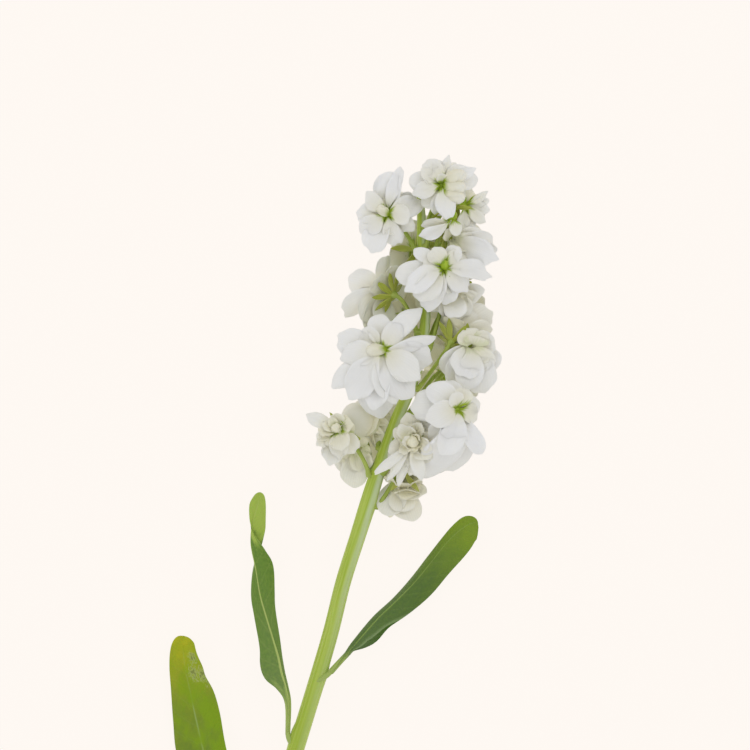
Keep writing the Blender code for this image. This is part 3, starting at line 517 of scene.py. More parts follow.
class Petal:
    """A petal or sepal, as a surface read at s from claw to tip and t from -1 to 1 across."""

    def __init__(self, centre, axis, tip, width, cup=PETAL_CUP, rise=PETAL_RISE, whorl=0.0):
        out = tip - centre
        radial = squared(out, axis)
        self.side = axis.cross(radial).normalized()
        self.base = centre + axis * whorl + radial.normalized()
        self.tip = tip
        self.bend = centre + axis * (rise * out.length + whorl) + radial * 0.3
        self.width = width
        self.cup = cup

    def middle(self, s):
        """The middle line, from its base to its tip."""
        return self.base * (1 - s) ** 2 + self.bend * 2 * s * (1 - s) + self.tip * s * s

    def half_width(self, s):
        """Half the width at s, in the solids."""
        if s < WIDEST:
            share = CLAW + (1 - CLAW) * math.sin(math.pi / 2 * s / WIDEST)
        else:
            share = 1 - (1 - TIP_WIDTH) * ((s - WIDEST) / (1 - WIDEST)) ** 2.2
        return self.width / 2 * share

    def point(self, s, t):
        along = (self.middle(min(s + 0.01, 1)) - self.middle(max(s - 0.01, 0))).normalized()
        face = self.side.cross(along).normalized()
        half = self.half_width(s)
        raised = self.cup * half * t * t
        return off_the_floor(self.middle(s) + self.side * half * t - face * raised)


class Leaf:
    """A leaf, as a surface through its stations: s from stalk to tip, t from -1 to 1."""

    def __init__(self, stations):
        self.stations = stations

    def point(self, s, t):
        x, y, z, left, left_up, right, right_up = spline(self.stations, s)
        ahead = spline(self.stations, min(s + 0.02, 1))
        behind = spline(self.stations, max(s - 0.02, 0))
        way = Vector((ahead[0] - behind[0], ahead[1] - behind[1], 0)).normalized()
        rightward = Vector((way.y, -way.x, 0))
        step, lift = (left, left_up) if t < 0 else (right, right_up)
        margin = rightward * step + Vector((0, 0, lift))
        return Vector((x, y, z)) + margin * abs(t)


def blade(surface, rows, columns, thickness, rib=0.0):
    """A closed blade round the surface: sharp at its margin and tip, both faces split alike."""
    points, faces = [], []
    top, under = {}, {}
    last = len(rows) - 1
    for i, s in enumerate(rows):
        for j in range(columns + 1):
            t = 2 * j / columns - 1
            place = surface.point(s, t)
            if i == last or j in (0, columns):
                top[i, j] = under[i, j] = len(points)
                points.append(place)
                continue
            along = surface.point(s + 0.02, t) - surface.point(max(s - 0.02, 0), t)
            wide = surface.point(s, min(t + 0.05, 1)) - surface.point(s, max(t - 0.05, -1))
            normal = along.cross(wide).normalized()
            half = thickness / 2 + (rib / 2 * (1 - s) if t == 0 else 0)
            top[i, j], under[i, j] = len(points), len(points) + 1
            points += [place + normal * half, place - normal * half]
    for i in range(last):
        for j in range(columns):
            for grid, flip in ((top, False), (under, True)):
                a, b, c, d = grid[i, j], grid[i + 1, j], grid[i + 1, j + 1], grid[i, j + 1]
                halves = ((a, b, d), (b, c, d)) if 2 * j < columns else ((a, b, c), (a, c, d))
                faces += [face[::-1] if flip else face for face in halves]
    for j in range(columns):
        a, b, c, d = top[0, j], top[0, j + 1], under[0, j + 1], under[0, j]
        faces += [face for face in ((a, b, c), (a, c, d)) if len(set(face)) == 3]
    return points, faces


def solid_blade(petal, rows, thickness, spare=0.0):
    """The blade of a petal or sepal in the solids, swelled all round by spare."""
    petal.width += 2 * spare
    shape = blade(petal, rows, 2, thickness + 2 * spare)
    petal.width -= 2 * spare
    return shape


def pipe(centres, radii, sides, shape=None, first_turn=0.25):
    """A closed tube of rings square to its path. shape changes the radius at a ring in a direction.

    Returns its points and faces, and at each point how far along and round it is, from 0 to 1.
    """
    points, faces, places = [], [], []
    last = len(centres) - 1
    ways = [(centres[min(i + 1, last)] - centres[max(i - 1, 0)]).normalized() for i in range(last + 1)]
    first, _ = across(ways[0])
    for i, (centre, radius, way) in enumerate(zip(centres, radii, ways)):
        first = squared(first, way).normalized()
        second = way.cross(first)
        for k in range(sides):
            turn = 2 * math.pi * (k / sides + first_turn)
            out = first * math.cos(turn) + second * math.sin(turn)
            reach = radius if shape is None else shape(i, turn, out, radius)
            points.append(centre + out * reach)
            places.append((i / last, k / sides))
    for i in range(last):
        for k in range(sides):
            a, b = i * sides + k, i * sides + (k + 1) % sides
            faces.append([a, b, b + sides, a + sides])
    start, end = len(points), len(points) + 1
    points += [centres[0], centres[-1]]
    places += [(0, 0), (1, 0)]
    top = last * sides
    for k in range(sides):
        faces += [[start, (k + 1) % sides, k], [end, top + k, top + (k + 1) % sides]]
    return points, faces, places


def tube(centres, radii, sides, rib=0.0):
    """A tube as the solids have it, of three-cornered faces. rib raises every other corner."""

    def ribbed(_ring, turn, _out, radius):
        return radius * (1 - rib * math.cos(turn * sides / 2))

    points, found, _ = pipe(centres, radii, sides, ribbed, 0.0)
    faces = []
    for a, b, c, *rest in found:
        faces += [(a, b, c)] + [(a, c, d) for d in rest]
    return points, faces


def lump(centre, axis, radius, length, sides=STALK_SIDES):
    """A closed egg round centre, long along axis."""
    steps = (-0.9, -0.4, 0.4, 0.9)
    centres = [centre + axis * length * step for step in steps]
    return tube(centres, [radius * math.sqrt(1 - step * step) for step in steps], sides)


def ball(centre, axis):
    """The ball of closed petals, with its foot where the heart's foot is."""
    return lump(centre + axis * (BALL_LENGTH - HEART_LENGTH), axis, BALL_RADIUS, BALL_LENGTH, 12)


def box_of(shape):
    """The lowest and the highest x, y and z of a shape's points."""
    points = shape[0]
    low = [min(point[k] for point in points) for k in range(3)]
    high = [max(point[k] for point in points) for k in range(3)]
    return low, high


class Clearance:
    """What has been placed so far, to keep the next shape clear of it."""

    def __init__(self):
        self.placed = []

    def add(self, owner, shape):
        """Keeps what belongs to other owners clear of this shape from now on."""
        self.placed.append((owner, box_of(shape), BVHTree.FromPolygons(*shape)))

    def crosses(self, owner, shape):
        """Whether the shape runs into anything that isn't its owner's."""
        low, high = box_of(shape)
        tree = BVHTree.FromPolygons(*shape)
        for other, (other_low, other_high), other_tree in self.placed:
            apart = any(low[k] > other_high[k] or high[k] < other_low[k] for k in range(3))
            if other != owner and not apart and other_tree.overlap(tree):
                return True
        return False


def stem_at(y):
    """Centre, direction and radius of the stem where it reaches this y."""
    low, high = 0.0, 1.0
    for _ in range(30):
        half = (low + high) / 2
        if spline(STEM, half)[1] < y:
            low = half
        else:
            high = half
    *centre, radius = spline(STEM, low)
    ahead, behind = spline(STEM, low + 0.01), spline(STEM, low - 0.01)
    return Vector(centre), (Vector(ahead[:3]) - Vector(behind[:3])).normalized(), radius


def slant_cut(ring, centres):
    """Slants the first ring of the stem, so that its cut end does."""
    way = (centres[1] - centres[0]).normalized()
    for point in ring:
        point += way * CUT_SLANT * (point - centres[0]).z


def stem_shape():
    """The main stem, ribbed, with a slanting cut at its foot."""
    centres = [Vector(station[:3]) for station in STEM]
    points, faces = tube(centres, [station[3] for station in STEM], STEM_SIDES, STEM_RIB)
    slant_cut(points[:STEM_SIDES], centres)
    return points, faces


def tip_layout():
    """The knob that caps the stem, its way up, and each bud of the growing tip: middle and way."""
    top, way, _ = stem_at(STEM[-1][1] - 0.1)
    knob = top + way * (KNOB_LENGTH + GAP)
    first, second = across(way)
    buds = []
    for k in range(BUDS):
        turn = 2 * math.pi * k * BUD_TURN
        out = first * math.cos(turn) + second * math.sin(turn)
        lean = (way + out * (0.5 + 0.1 * (k % 3))).normalized()
        buds.append((knob + lean * (KNOB_LENGTH + BUD_REACH), lean))
    return knob, way, buds


def tip_shapes():
    """The growing tip as its solid has it."""
    knob, way, buds = tip_layout()
    shapes = [lump(knob, way, KNOB_RADIUS, KNOB_LENGTH)]
    return shapes + [lump(middle, lean, BUD_RADIUS, BUD_LENGTH) for middle, lean in buds]


def floret(name):
    """A floret's centre, its axis, where its stalk leaves the stem, and its outer petals."""
    centre, facing, y, tips = FLORETS[name]
    return Vector(centre), Vector(facing).normalized(), y, tips


def outer_tips(tips, axis, rng):
    """The listed tips, or a ring of them by rule for a floret that the head hides."""
    if tips:
        return [(Vector(tip[:3]), tip[3]) for tip in tips]
    found = []
    for out in round_axis(axis, HIDDEN_PETALS, rng):
        lift = math.radians(rng.uniform(2, 24))
        length = rng.uniform(16, 19)
        found.append((lifted(out, axis, lift) * length, rng.uniform(12, 14.5)))
    return found


def inner_tips(axis, rng):
    """The small petals that stand up in the middle of a floret."""
    found = []
    for out in round_axis(axis, INNER_PETALS, rng):
        lift = math.radians(rng.uniform(48, 66))
        found.append((lifted(out, axis, lift) * rng.uniform(6.5, 8), INNER_WIDTH))
    return found


def stalk_path(centre, axis, y, reach):
    """The middle line of a floret's stalk: its own ends, then where the cup begins and ends."""
    root, way, radius = stem_at(y)
    out = squared(centre - root, way).normalized()
    end = centre - axis * (HEART_LENGTH + GAP)
    neck = end - axis * CUP_DEPTH
    start = root + out * (radius + reach)
    return [start, start + out * 2 + way * 5, neck - axis * 5, neck], end, out


def path_length(points):
    """How long a path through points is."""
    return sum((b - a).length for a, b in zip(points, points[1:]))


def bezier(points, u):
    """A cubic curve from four points, read at u from 0 to 1."""
    a, b, c, d = points
    return a * (1 - u) ** 3 + b * 3 * u * (1 - u) ** 2 + c * 3 * u * u * (1 - u) + d * u**3


def stalk_shape(centre, axis, y, reach):
    """A floret's stalk as its solid has it, with the cup under the petals."""
    line, end, _ = stalk_path(centre, axis, y, reach)
    path = [bezier(line, i / 4) for i in range(5)]
    path += [line[3] + axis * CUP_DEPTH * 0.6, end]
    radii = [STALK_RADIUS] * 4 + [STALK_RADIUS * 1.15, CUP_RADIUS, CUP_RADIUS * 0.8]
    return tube(path, radii, STALK_SIDES)


def seated_stalk(centre, axis, y, clearance):
    """How far outside the stem a stalk's solid starts, and that solid."""
    for tenth in range(6, 20):
        if not clearance.crosses("", stalk_shape(centre, axis, y, tenth / 10)):
            reach = tenth / 10 + 0.3
            return reach, stalk_shape(centre, axis, y, reach)


def settled(centre, axis, tip, width, owner, clearance, own, moves):
    """The petal to this tip that crosses no neighbour, and its own floret's petals least.

    It may grow from any of the floret's whorls, move along the axis or, at the worst, shrink.
    """
    for size in SIZES:
        best, least = None, None
        for move in moves:
            for whorl in WHORLS:
                end = centre + tip * size + axis * (move + whorl / 2)
                petal = Petal(centre, axis, end, width * (0.4 + 0.6 * size), whorl=whorl)
                if clearance.crosses(owner, solid_blade(petal, *PETAL_SOLID, GAP)):
                    continue
                tree = BVHTree.FromPolygons(*solid_blade(petal, *PETAL_SOLID))
                cost = abs(move) + sum(len(tree.overlap(other)) for other in own)
                if best is None or cost < least:
                    best, least = petal, cost
        if best:
            return best
    return None


def settled_petals(name, wanted, own, clearance, moves=MOVES):
    """The petals to the wanted tips and widths that find room, each kept clear of from now on."""
    centre, axis, _, _ = floret(name)
    owner = "bloom_" + name
    petals = []
    for tip, width in wanted:
        petal = settled(centre, axis, tip, width, owner, clearance, own, moves)
        if petal:
            petals.append(petal)
            shape = solid_blade(petal, *PETAL_SOLID)
            own.append(BVHTree.FromPolygons(*shape))
            clearance.add(owner, shape)
    return petals


def bloom_petals(name, clearance):
    """A floret's petals as its solid has them, and their shapes."""
    _, axis, _, tips = floret(name)
    rng = random.Random(SEED + int(name))
    wanted = outer_tips(tips, axis, rng)
    if name in SHOWN_MIDDLES:
        wanted += inner_tips(axis, rng)
    own = []
    return settled_petals(name, wanted, own, clearance), own


def fill_petals(name, petals, own, clearance, rng):
    """Petals between and under the outer ones of a floret, in the widest gaps first."""
    centre, axis, _, _ = floret(name)
    first, second = across(axis)
    outer = []
    for petal in petals:
        out = petal.tip - centre
        flat = squared(out, axis)
        if flat.length > RING_FROM:
            outer.append((math.atan2(flat.dot(second), flat.dot(first)), out, petal.width))
    outer.sort(key=lambda entry: entry[0])
    gaps = []
    for (turn, out, width), (next_turn, next_out, next_width) in zip(outer, outer[1:] + outer[:1]):
        gap = (next_turn - turn) % (2 * math.pi)
        gaps.append((gap, turn + gap / 2, min(out.length, next_out.length), min(width, next_width)))
    gaps.sort(reverse=True)
    wanted = []
    for _, turn, length, width in gaps[: FILL_PETALS.get(name, USUAL_FILL)]:
        out = first * math.cos(turn) + second * math.sin(turn)
        lift = math.radians(rng.uniform(-8, 14))
        tip = lifted(out, axis, lift) * length * rng.uniform(0.8, 0.95)
        wanted.append((tip, max(width, FILL_WIDTH)))
    return settled_petals(name, wanted, own, clearance, UNDER_MOVES)


def calyx_sepals(name, clearance):
    """A floret's sepals as its solid has them."""
    centre, axis, _, _ = floret(name)
    base = centre - axis * (HEART_LENGTH + GAP + 0.45 * CUP_DEPTH)
    owner = "calyx_" + name
    rng = random.Random(SEED + 50 + int(name))
    sepals = []
    for out in round_axis(axis, SEPALS.get(name, USUAL_SEPALS), rng):
        for drop in SEPAL_DROPS:
            tip = base + out * SEPAL_LENGTH + axis * drop
            sepal = Petal(base, axis, tip, SEPAL_WIDTH, SEPAL_CUP, SEPAL_RISE)
            if not clearance.crosses(owner, solid_blade(sepal, *SEPAL_SOLID, GAP)):
                sepals.append(sepal)
                clearance.add(owner, solid_blade(sepal, *SEPAL_SOLID))
                break
    return sepals


# Full forms


class Form:
    """A petal's or sepal's full form, on the middle line and width of its blade in the solids.

    Its outline is rounded: across its end, a point lies the further back the nearer it is to the
    margin. The margin is ruffled, the middle has a crease and the tip curls. How much of each it
    has is drawn for it, so that no two petals are alike.
    """

    def __init__(self, petal, rng, claw, roundness, ruffle, full=1.0):
        self.petal = petal
        self.claw = claw
        self.roundness = roundness
        self.length = (petal.tip - petal.base).length
        self.width = min(petal.width * full, max(petal.width, self.length * BROADEST))
        self.cup = petal.cup * rng.uniform(0.0, 1.1)
        self.nib = rng.uniform(-0.02, 0.1)
        self.ruffle = ruffle * rng.uniform(0.6, 1.3)
        self.ragged = rng.uniform(0.0, 0.03)
        self.taper = rng.uniform(1.5, 2.4)
        self.sway = rng.uniform(-0.05, 0.05)
        self.curl = rng.uniform(-0.1, 0.06)
        self.twist = rng.uniform(-0.35, 0.35)
        self.uneven = rng.uniform(-0.12, 0.12)
        self.phases = [rng.uniform(0, 2 * math.pi) for _ in range(4)]
        self.keel = rng.uniform(-0.25, 0.25)

    def calm(self):
        """Takes most of the ruffle, fold and turn out of the petal."""
        self.ruffle *= CALMER
        self.nib *= CALMER
        self.keel *= CALMER
        self.twist *= CALMER

    def spread(self, s):
        """How much of the full width the petal has at s."""
        rise = math.sin(math.pi / 2 * min(s / 0.92, 1))
        return self.claw + (1 - self.claw) * rise**self.taper

    def point(self, s, t):
        reach = 1 - self.roundness * (1 - math.sqrt(max(1 - t * t, 0)))
        reach += self.nib * math.exp(-((t / 0.4) ** 2)) * s
        reach += self.ragged * math.sin(self.phases[3] + 7 * t) * s * (1 - t * t)
        u = s * reach
        petal = self.petal
        along = (petal.middle(u + 0.01) - petal.middle(u - 0.01)).normalized()
        turn = self.twist * s
        face = petal.side.cross(along).normalized()
        side = petal.side * math.cos(turn) + face * math.sin(turn)
        face = side.cross(along).normalized()
        half = self.width / 2 * self.spread(s) * (1 + self.uneven * t * s)
        a, b, c, _ = self.phases
        margin = s * s * (0.15 + 0.85 * abs(t) ** 1.5)
        wave = math.sin(a + 2.4 * t + 4.5 * s * s) + 0.6 * math.sin(b - 5.5 * t + 5 * s)
        wave += 0.25 * math.sin(c + 11 * t + 9 * s)
        # How far back the point lies: the hollow and the ruffle, the crease along the middle, the
        # fold of one half to the other, and the curl of the tip.
        lift = self.cup * half * t * t + self.ruffle * self.width * margin * wave
        lift -= 0.2 * math.exp(-((t / 0.22) ** 2)) * math.sin(math.pi * min(s, 0.95))
        fold = self.keel * half * (1 - math.sqrt(t * t + 0.01))
        lift += fold * math.sin(math.pi * min(0.75 * s, 1))
        lift += self.curl * self.length * max(0.0, (s - 0.6) / 0.4) ** 2
        bow = self.sway * self.length * math.sin(math.pi * u)
        return off_the_floor(petal.middle(u) + side * (half * t + bow) - face * lift)


def even(columns):
    """Places across a rounded blade, closer together towards its margins."""
    return [math.sin(math.pi / 2 * (2 * j / columns - 1)) for j in range(columns + 1)]


def sheet(form, rows, columns, half):
    """A closed blade round a form, sharp at its margin. half is half its thickness at s and t.

    Returns its points and faces, and s and t at each point.
    """
    steps = even(columns)
    grid = [[form.point(i / rows, t) for t in steps] for i in range(rows + 1)]
    points, faces, places = [], [], []
    top, under = {}, {}
    for i in range(rows + 1):
        for j, t in enumerate(steps):
            s = i / rows
            if i in (0, rows) or j in (0, columns):
                top[i, j] = under[i, j] = len(points)
                points.append(grid[i][j])
                places.append((s, t))
                continue
            along = grid[i + 1][j] - grid[i - 1][j]
            normal = along.cross(grid[i][j + 1] - grid[i][j - 1]).normalized() * half(s, t)
            top[i, j], under[i, j] = len(points), len(points) + 1
            points += [grid[i][j] + normal, grid[i][j] - normal]
            places += [(s, t), (s, t)]
    for i in range(rows):
        for j in range(columns):
            corners = [(i, j), (i + 1, j), (i + 1, j + 1), (i, j + 1)]
            faces.append([top[corner] for corner in corners])
            faces.append([under[corner] for corner in reversed(corners)])
    return points, faces, places


def egg(centre, axis, radius, length, rows, sides):
    """A closed egg, a little fuller at its foot."""
    centres, radii = [], []
    for i in range(rows + 1):
        turn = math.pi * (0.02 + 0.96 * i / rows)
        centres.append(centre - axis * length * math.cos(turn))
        radii.append(radius * math.sin(turn) * (1 + 0.15 * math.cos(turn)))
    return pipe(centres, radii, sides)


class Piece:
    """Gathers the shapes of one visible piece, with what its finish reads at each point.

    along is millimetres from a shape's foot, across goes from margin to margin or round a tube,
    and tone tells one shape from the next.
    """

    def __init__(self):
        self.points = []
        self.faces = []
        self.slots = []
        self.fields = {"along": [], "across": [], "tone": []}

    def add(self, shape, length, tone, slot=0):
        """Takes in a shape. slot is the place of its finish among the piece's finishes."""
        points, faces, places = shape
        first = len(self.points)
        self.points += points
        self.faces += [[first + k for k in face] for face in faces]
        self.slots += [slot] * len(faces)
        self.fields["along"] += [place[0] * length for place in places]
        self.fields["across"] += [place[1] for place in places]
        self.fields["tone"] += [tone] * len(points)

    def build(self, name, finishes, nodes):
        """Makes the piece, which takes the place of the nodes in the frame."""
        mesh = bpy.data.meshes.new(name)
        mesh.from_pydata([HOME @ point for point in self.points], [], self.faces)
        for finish in finishes:
            mesh.materials.append(finish)
        mesh.polygons.foreach_set("material_index", self.slots)
        for field, values in self.fields.items():
            mesh.attributes.new(field, "FLOAT", "POINT").data.foreach_set("value", values)
        mesh.shade_smooth()
        mesh.set_sharp_from_angle(angle=SHARP)
        obj = bpy.data.objects.new(name, mesh)
        bpy.context.scene.collection.objects.link(obj)
        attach(obj, "root")
        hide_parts(*nodes)


def add_thin(piece, form, grid, thickness, tone, slot=0):
    """A thin form of even thickness."""
    piece.add(sheet(form, *grid, lambda s, t: thickness / 2), form.length, tone, slot)


def add_petal(piece, petal, rng, tone, sizes=OPEN_PETAL, ruffle=0.075, calm=False):
    """A petal in full. sizes are its width to its solid's and its claw's to that."""
    full, claw = sizes
    form = Form(petal, rng, claw, roundness=rng.uniform(0.2, 0.34), ruffle=ruffle, full=full)
    if calm:
        form.calm()
    add_thin(piece, form, PETAL_GRID, PETAL_REAL, tone)


def tuft(piece, centre, axis, count, size, lowest, ruffle, rng, tone):
    """Small crumpled petals that fill the middle of a double floret."""
    for out in round_axis(axis, count, rng):
        lift = math.radians(rng.uniform(lowest, 80))
        length = rng.uniform(4.5, 10.0) * size
        tip = centre + lifted(out, axis, lift) * length
        petal = Petal(centre, axis, tip, rng.uniform(3.5, 6.5) * size, 0.5, 0.3)
        add_petal(piece, petal, rng, tone + rng.uniform(0, 0.15), SMALL_PETAL, ruffle)


def furled(piece, foot, way, length, width, tone, rng):
    """Petals furled round each other into a closed bud, so that their margins wind round it."""
    rows, sides = FURLED_GRID
    phase = rng.random()
    centres, radii = [], []
    for i in range(rows + 1):
        turn = math.pi * (0.02 + 0.96 * i / rows)
        centres.append(foot + way * length * (0.5 - 0.5 * math.cos(turn)))
        radii.append(width / 2 * math.sin(turn) ** 0.8 * (1 - 0.12 * math.cos(turn)))

    def wound(i, turn, _, radius):
        share = (FURLS * turn / (2 * math.pi) + FURL_WIND * i / rows + phase) % 1
        return radius * (1 + 2 / width * (FURL_STEP * share - FURL_SINK))

    piece.add(pipe(centres, radii, sides, wound), length, tone)


def furled_bud(piece, centre, axis, lean, length, rng):
    """A bud of furled petals in an eye, with its foot back from the side that it leans to."""
    way = (axis + lean).normalized()
    foot = centre + axis * 1.2 - squared(way, axis) * length * 0.2
    furled(piece, foot, way, length, length * BUD_SLIMNESS, BUD_TONE, rng)


def bent_back(piece, centre, axis, reach, rng, tone):
    """The lowest petals of a floret, which bend back over its cup."""
    for out in round_axis(axis, BACK_PETALS, rng):
        tip = centre + out * reach - axis * BACK_DROP
        petal = Petal(centre + axis, axis, tip, BACK_WIDTH, 0.35, 0.3)
        add_petal(piece, petal, rng, tone, SMALL_PETAL, 0.09)


def spurs(piece, centre, axis, count, reach, rng):
    """Green claws of shrunken petals, which make a star over the claws of the full ones."""
    for out in round_axis(axis, count, rng):
        tip = centre + out * reach * rng.uniform(0.75, 1.25) + axis * rng.uniform(1.0, 1.8)
        claw = Petal(centre + axis * 0.9, axis, tip, SPUR_WIDTH, 0.2, 0.02)
        form = Form(claw, rng, claw=0.75, roundness=0.75, ruffle=0.0)
        add_thin(piece, form, SEPAL_GRID, SPUR_REAL, 0.4, 1)


def mantle(piece, centre, axis, petals, rng, tone, calm):
    """Petals that stand up from the outer ones and close over a middle that doesn't show."""
    for outer in petals:
        out = outer.tip - centre
        if out.length < OUTER_FROM or rng.random() < 0.25:
            continue
        flat = squared(out, axis)
        lift = rng.uniform(0.15, 0.4)
        tip = centre + flat * rng.uniform(0.6, 0.85) + axis * (lift * out.length + 1)
        wide = rng.uniform(0.85, 1.1) * (1.25 if calm else 1)
        petal = Petal(centre, axis, tip, outer.width * wide, 0.5, 0.35)
        add_petal(piece, petal, rng, tone + rng.uniform(0.0, 0.15), MANTLE_PETAL, 0.09, calm)


def pistil(piece, centre, axis, rng):
    """A green pistil, with the claws of shrunken petals curling round it."""
    way = (axis + Vector((0.1, 0.35, 0))).normalized()
    middle = centre + way * PISTIL_LENGTH
    shape = egg(middle, way, PISTIL_RADIUS, PISTIL_LENGTH, *BUD_GRID)
    piece.add(shape, 2 * PISTIL_LENGTH, 0.5, 1)
    for out in round_axis(axis, HOOKS, rng):
        tip = centre + out * rng.uniform(4, 5.2) + axis * rng.uniform(2.5, 4)
        hook = Petal(centre, axis, tip, HOOK_WIDTH, 0.3, 0.1)
        form = Form(hook, rng, claw=0.6, roundness=0.5, ruffle=0.0)
        add_thin(piece, form, SEPAL_GRID, HOOK_REAL, 0.5, 1)


def cushion(piece, centre, axis, out, radius, length, tone):
    """The green middle on which small petals and claws stand."""
    piece.add(egg(centre + axis * out, axis, radius, length, *BUD_GRID), 4.4, tone, 1)


def dress_bloom(name, petals, filling, finish):
    """A floret's petals in full, round what stands in its eye."""
    centre, axis, _, _ = floret(name)
    rng = random.Random(SEED + 200 + int(name))
    piece = Piece()
    cream_and_shade = CREAM_AND_SHADE.get(name, USUAL_CREAM)
    eye = EYES.get(name, "shut")
    full, claw = SHUT_PETAL if eye == "shut" else OPEN_PETAL
    sizes = (OWN_WIDTHS.get(name, full), claw)
    calm = name in CALM
    for petal in petals:
        # What stands in an open eye takes the place of the small petals there.
        if eye in ("tuft", "shut") or (petal.tip - centre).length > OUTER_FROM:
            add_petal(piece, petal, rng, cream_and_shade + rng.uniform(0, 0.1), sizes, calm=calm)
    # The petals that fill the gaps lie under the outer ones, and their creamier tone is painted shade.
    for petal in filling:
        add_petal(piece, petal, rng, cream_and_shade + rng.uniform(0.1, 0.25), sizes, calm=calm)
    if name == BALLED:
        foot = centre - axis * HEART_LENGTH
        furled(piece, foot, axis, 2 * BALL_LENGTH, 2 * BALL_RADIUS, cream_and_shade, rng)
    elif eye == "shut" and axis.z > 0.2:
        mantle(piece, centre, axis, petals, rng, cream_and_shade, calm)
    elif eye != "shut":
        cushion(piece, centre, axis, *(TUFT_CUSHION if eye == "tuft" else EYE_CUSHION))
    if name in HEARTS:
        furled(piece, centre + axis * 0.8, axis, *HEARTS[name], cream_and_shade + 0.3, rng)
    if name in BENT_BACK:
        bent_back(piece, centre, axis, BENT_BACK[name], rng, cream_and_shade)
    if eye in STARS:
        spurs(piece, centre, axis, *STARS[eye], rng)
    if eye == "tuft":
        tuft(piece, centre, axis, *TUFTS.get(name, USUAL_TUFT), rng, cream_and_shade + 0.1)
    if eye == "pistil":
        pistil(piece, centre, axis, rng)
    for step, lean, length in EYE_BUDS.get(name, ()):
        furled_bud(piece, centre + Vector(step), axis, Vector(lean), length, rng)
    tissue = finish["shut petal" if eye == "shut" else "petal"]
    piece.build("petals_" + name, [tissue, finish["eye"]], ["bloom_" + name])


def dress_calyx(name, reach, sepals, finish):
    """A floret's stalk, cup and sepals in full. The stalk grows from inside the stem."""
    centre, axis, y, _ = floret(name)
    rng = random.Random(SEED + 400 + int(name))
    line, end, out = stalk_path(centre, axis, y, reach)
    rows, sides = STALK_GRID
    # The stalk is widest at its root, slimmer from there on, and opens into the cup.
    path = [line[0] - out * (reach + 0.8) - (line[1] - line[0]).normalized() * 0.4]
    radii = [STALK_RADIUS * 1.3]
    for i in range(rows):
        u = i / rows
        path.append(bezier(line, u))
        radii.append(STALK_RADIUS * (0.74 + 0.55 * math.exp(-u * 9) + 0.1 * u))
    slim = STALK_RADIUS * 0.84
    for i in range(CUP_ROWS + 1):
        u = i / CUP_ROWS
        path.append(line[3].lerp(end, u))
        radii.append(slim + (CUP_RADIUS - slim) * math.sin(math.pi * 0.62 * u))
    piece = Piece()
    length = (line[3] - line[0]).length
    piece.add(pipe(path, radii, sides), length, rng.uniform(0, 0.4), 1)
    for sepal in sepals:
        form = Form(sepal, rng, claw=0.55, roundness=0.3, ruffle=0.02)
        tone = PALE_SEPALS.get(name, 0.0) + rng.uniform(0, 0.5)
        add_thin(piece, form, SEPAL_GRID, SEPAL_REAL, tone)
    finishes = [finish["sepal"], finish["stalk"]]
    piece.build("calyx_full_" + name, finishes, ["calyx_" + name])


def dress_stem(roots, finish):
    """The stem in full, with a ridge that runs down from each stalk and leaf."""
    rows, sides = STEM_GRID
    stations = [spline(STEM, i / rows) for i in range(rows + 1)]
    centres = [Vector(station[:3]) for station in stations]

    def ridged(i, turn, out, radius):
        ridge = 0.0
        for root_y, way, height, width, tail in roots:
            below = root_y - stations[i][1]
            fade = math.exp(-below / tail) if below > 0 else math.exp(-((below / 2.5) ** 2))
            if fade > 0.02:
                aside = math.acos(max(-1, min(1, out.dot(way))))
                ridge = max(ridge, height * fade * math.exp(-((aside / width) ** 2)))
        return radius * (1 - STEM_RIB * 0.5 * math.cos(5 * turn)) + ridge

    points, faces, places = pipe(centres, [station[3] for station in stations], sides, ridged)
    slant_cut(points[:sides], centres)
    piece = Piece()
    piece.add((points, faces, places), path_length(centres), 0.0)
    for index, face in enumerate(piece.faces):
        if len(face) == 3 and max(face[1:]) < sides:
            piece.slots[index] = 1
    piece.build("stem_full", [finish["stem"], finish["cut"]], ["stem"])


class FullLeaf:
    """A leaf's full form: its stations in the solids, with a soft swell between rib and margin.

    Its right margin has worn places, and can curl under near its foot.
    """

    def __init__(self, stations, rng, nibbles, curls):
        self.leaf = Leaf(stations)
        self.phase = rng.uniform(0, 6)
        self.nibbles = nibbles
        self.curls = curls

    def point(self, s, t):
        # The end station is as wide as a cut leaf's, so the outline is rounded off to it. A last
        # bit of width is left, so that no face there closes up.
        t *= math.sqrt(max(0.003, 1 - (max(0.0, s - 0.95) / 0.05) ** 2))
        for place, reach, depth in self.nibbles:
            if t > 0:
                t *= 1 - depth * math.exp(-(((s - place) / reach) ** 2))
        point = self.leaf.point(s, t)
        if self.curls:
            under = math.exp(-(((s - CURL_AT) / CURL_REACH) ** 2)) * max(0.0, t - CURL_FROM)
            point.z -= CURL_DROP * under
        middle = math.sin(math.pi * s)
        swell = 0.5 * math.sin(math.pi * min(abs(t), 1)) * middle
        wave = 0.35 * t**2 * math.sin(self.phase + 19 * s + (2 if t > 0 else 0)) * middle
        return point + Vector((0, 0, swell + wave))


def leaf_half(s, t):
    """Half the thickness of a leaf: a round stalk that goes over into a blade with a rib."""
    stalk = PETIOLE_REAL / 2 * math.exp(-((s / 0.11) ** 2)) * math.sqrt(max(1 - t * t, 0))
    rib = MIDRIB_REAL * (1 - s) * math.exp(-((t / 0.08) ** 2))
    return LEAF_REAL / 2 + stalk + rib


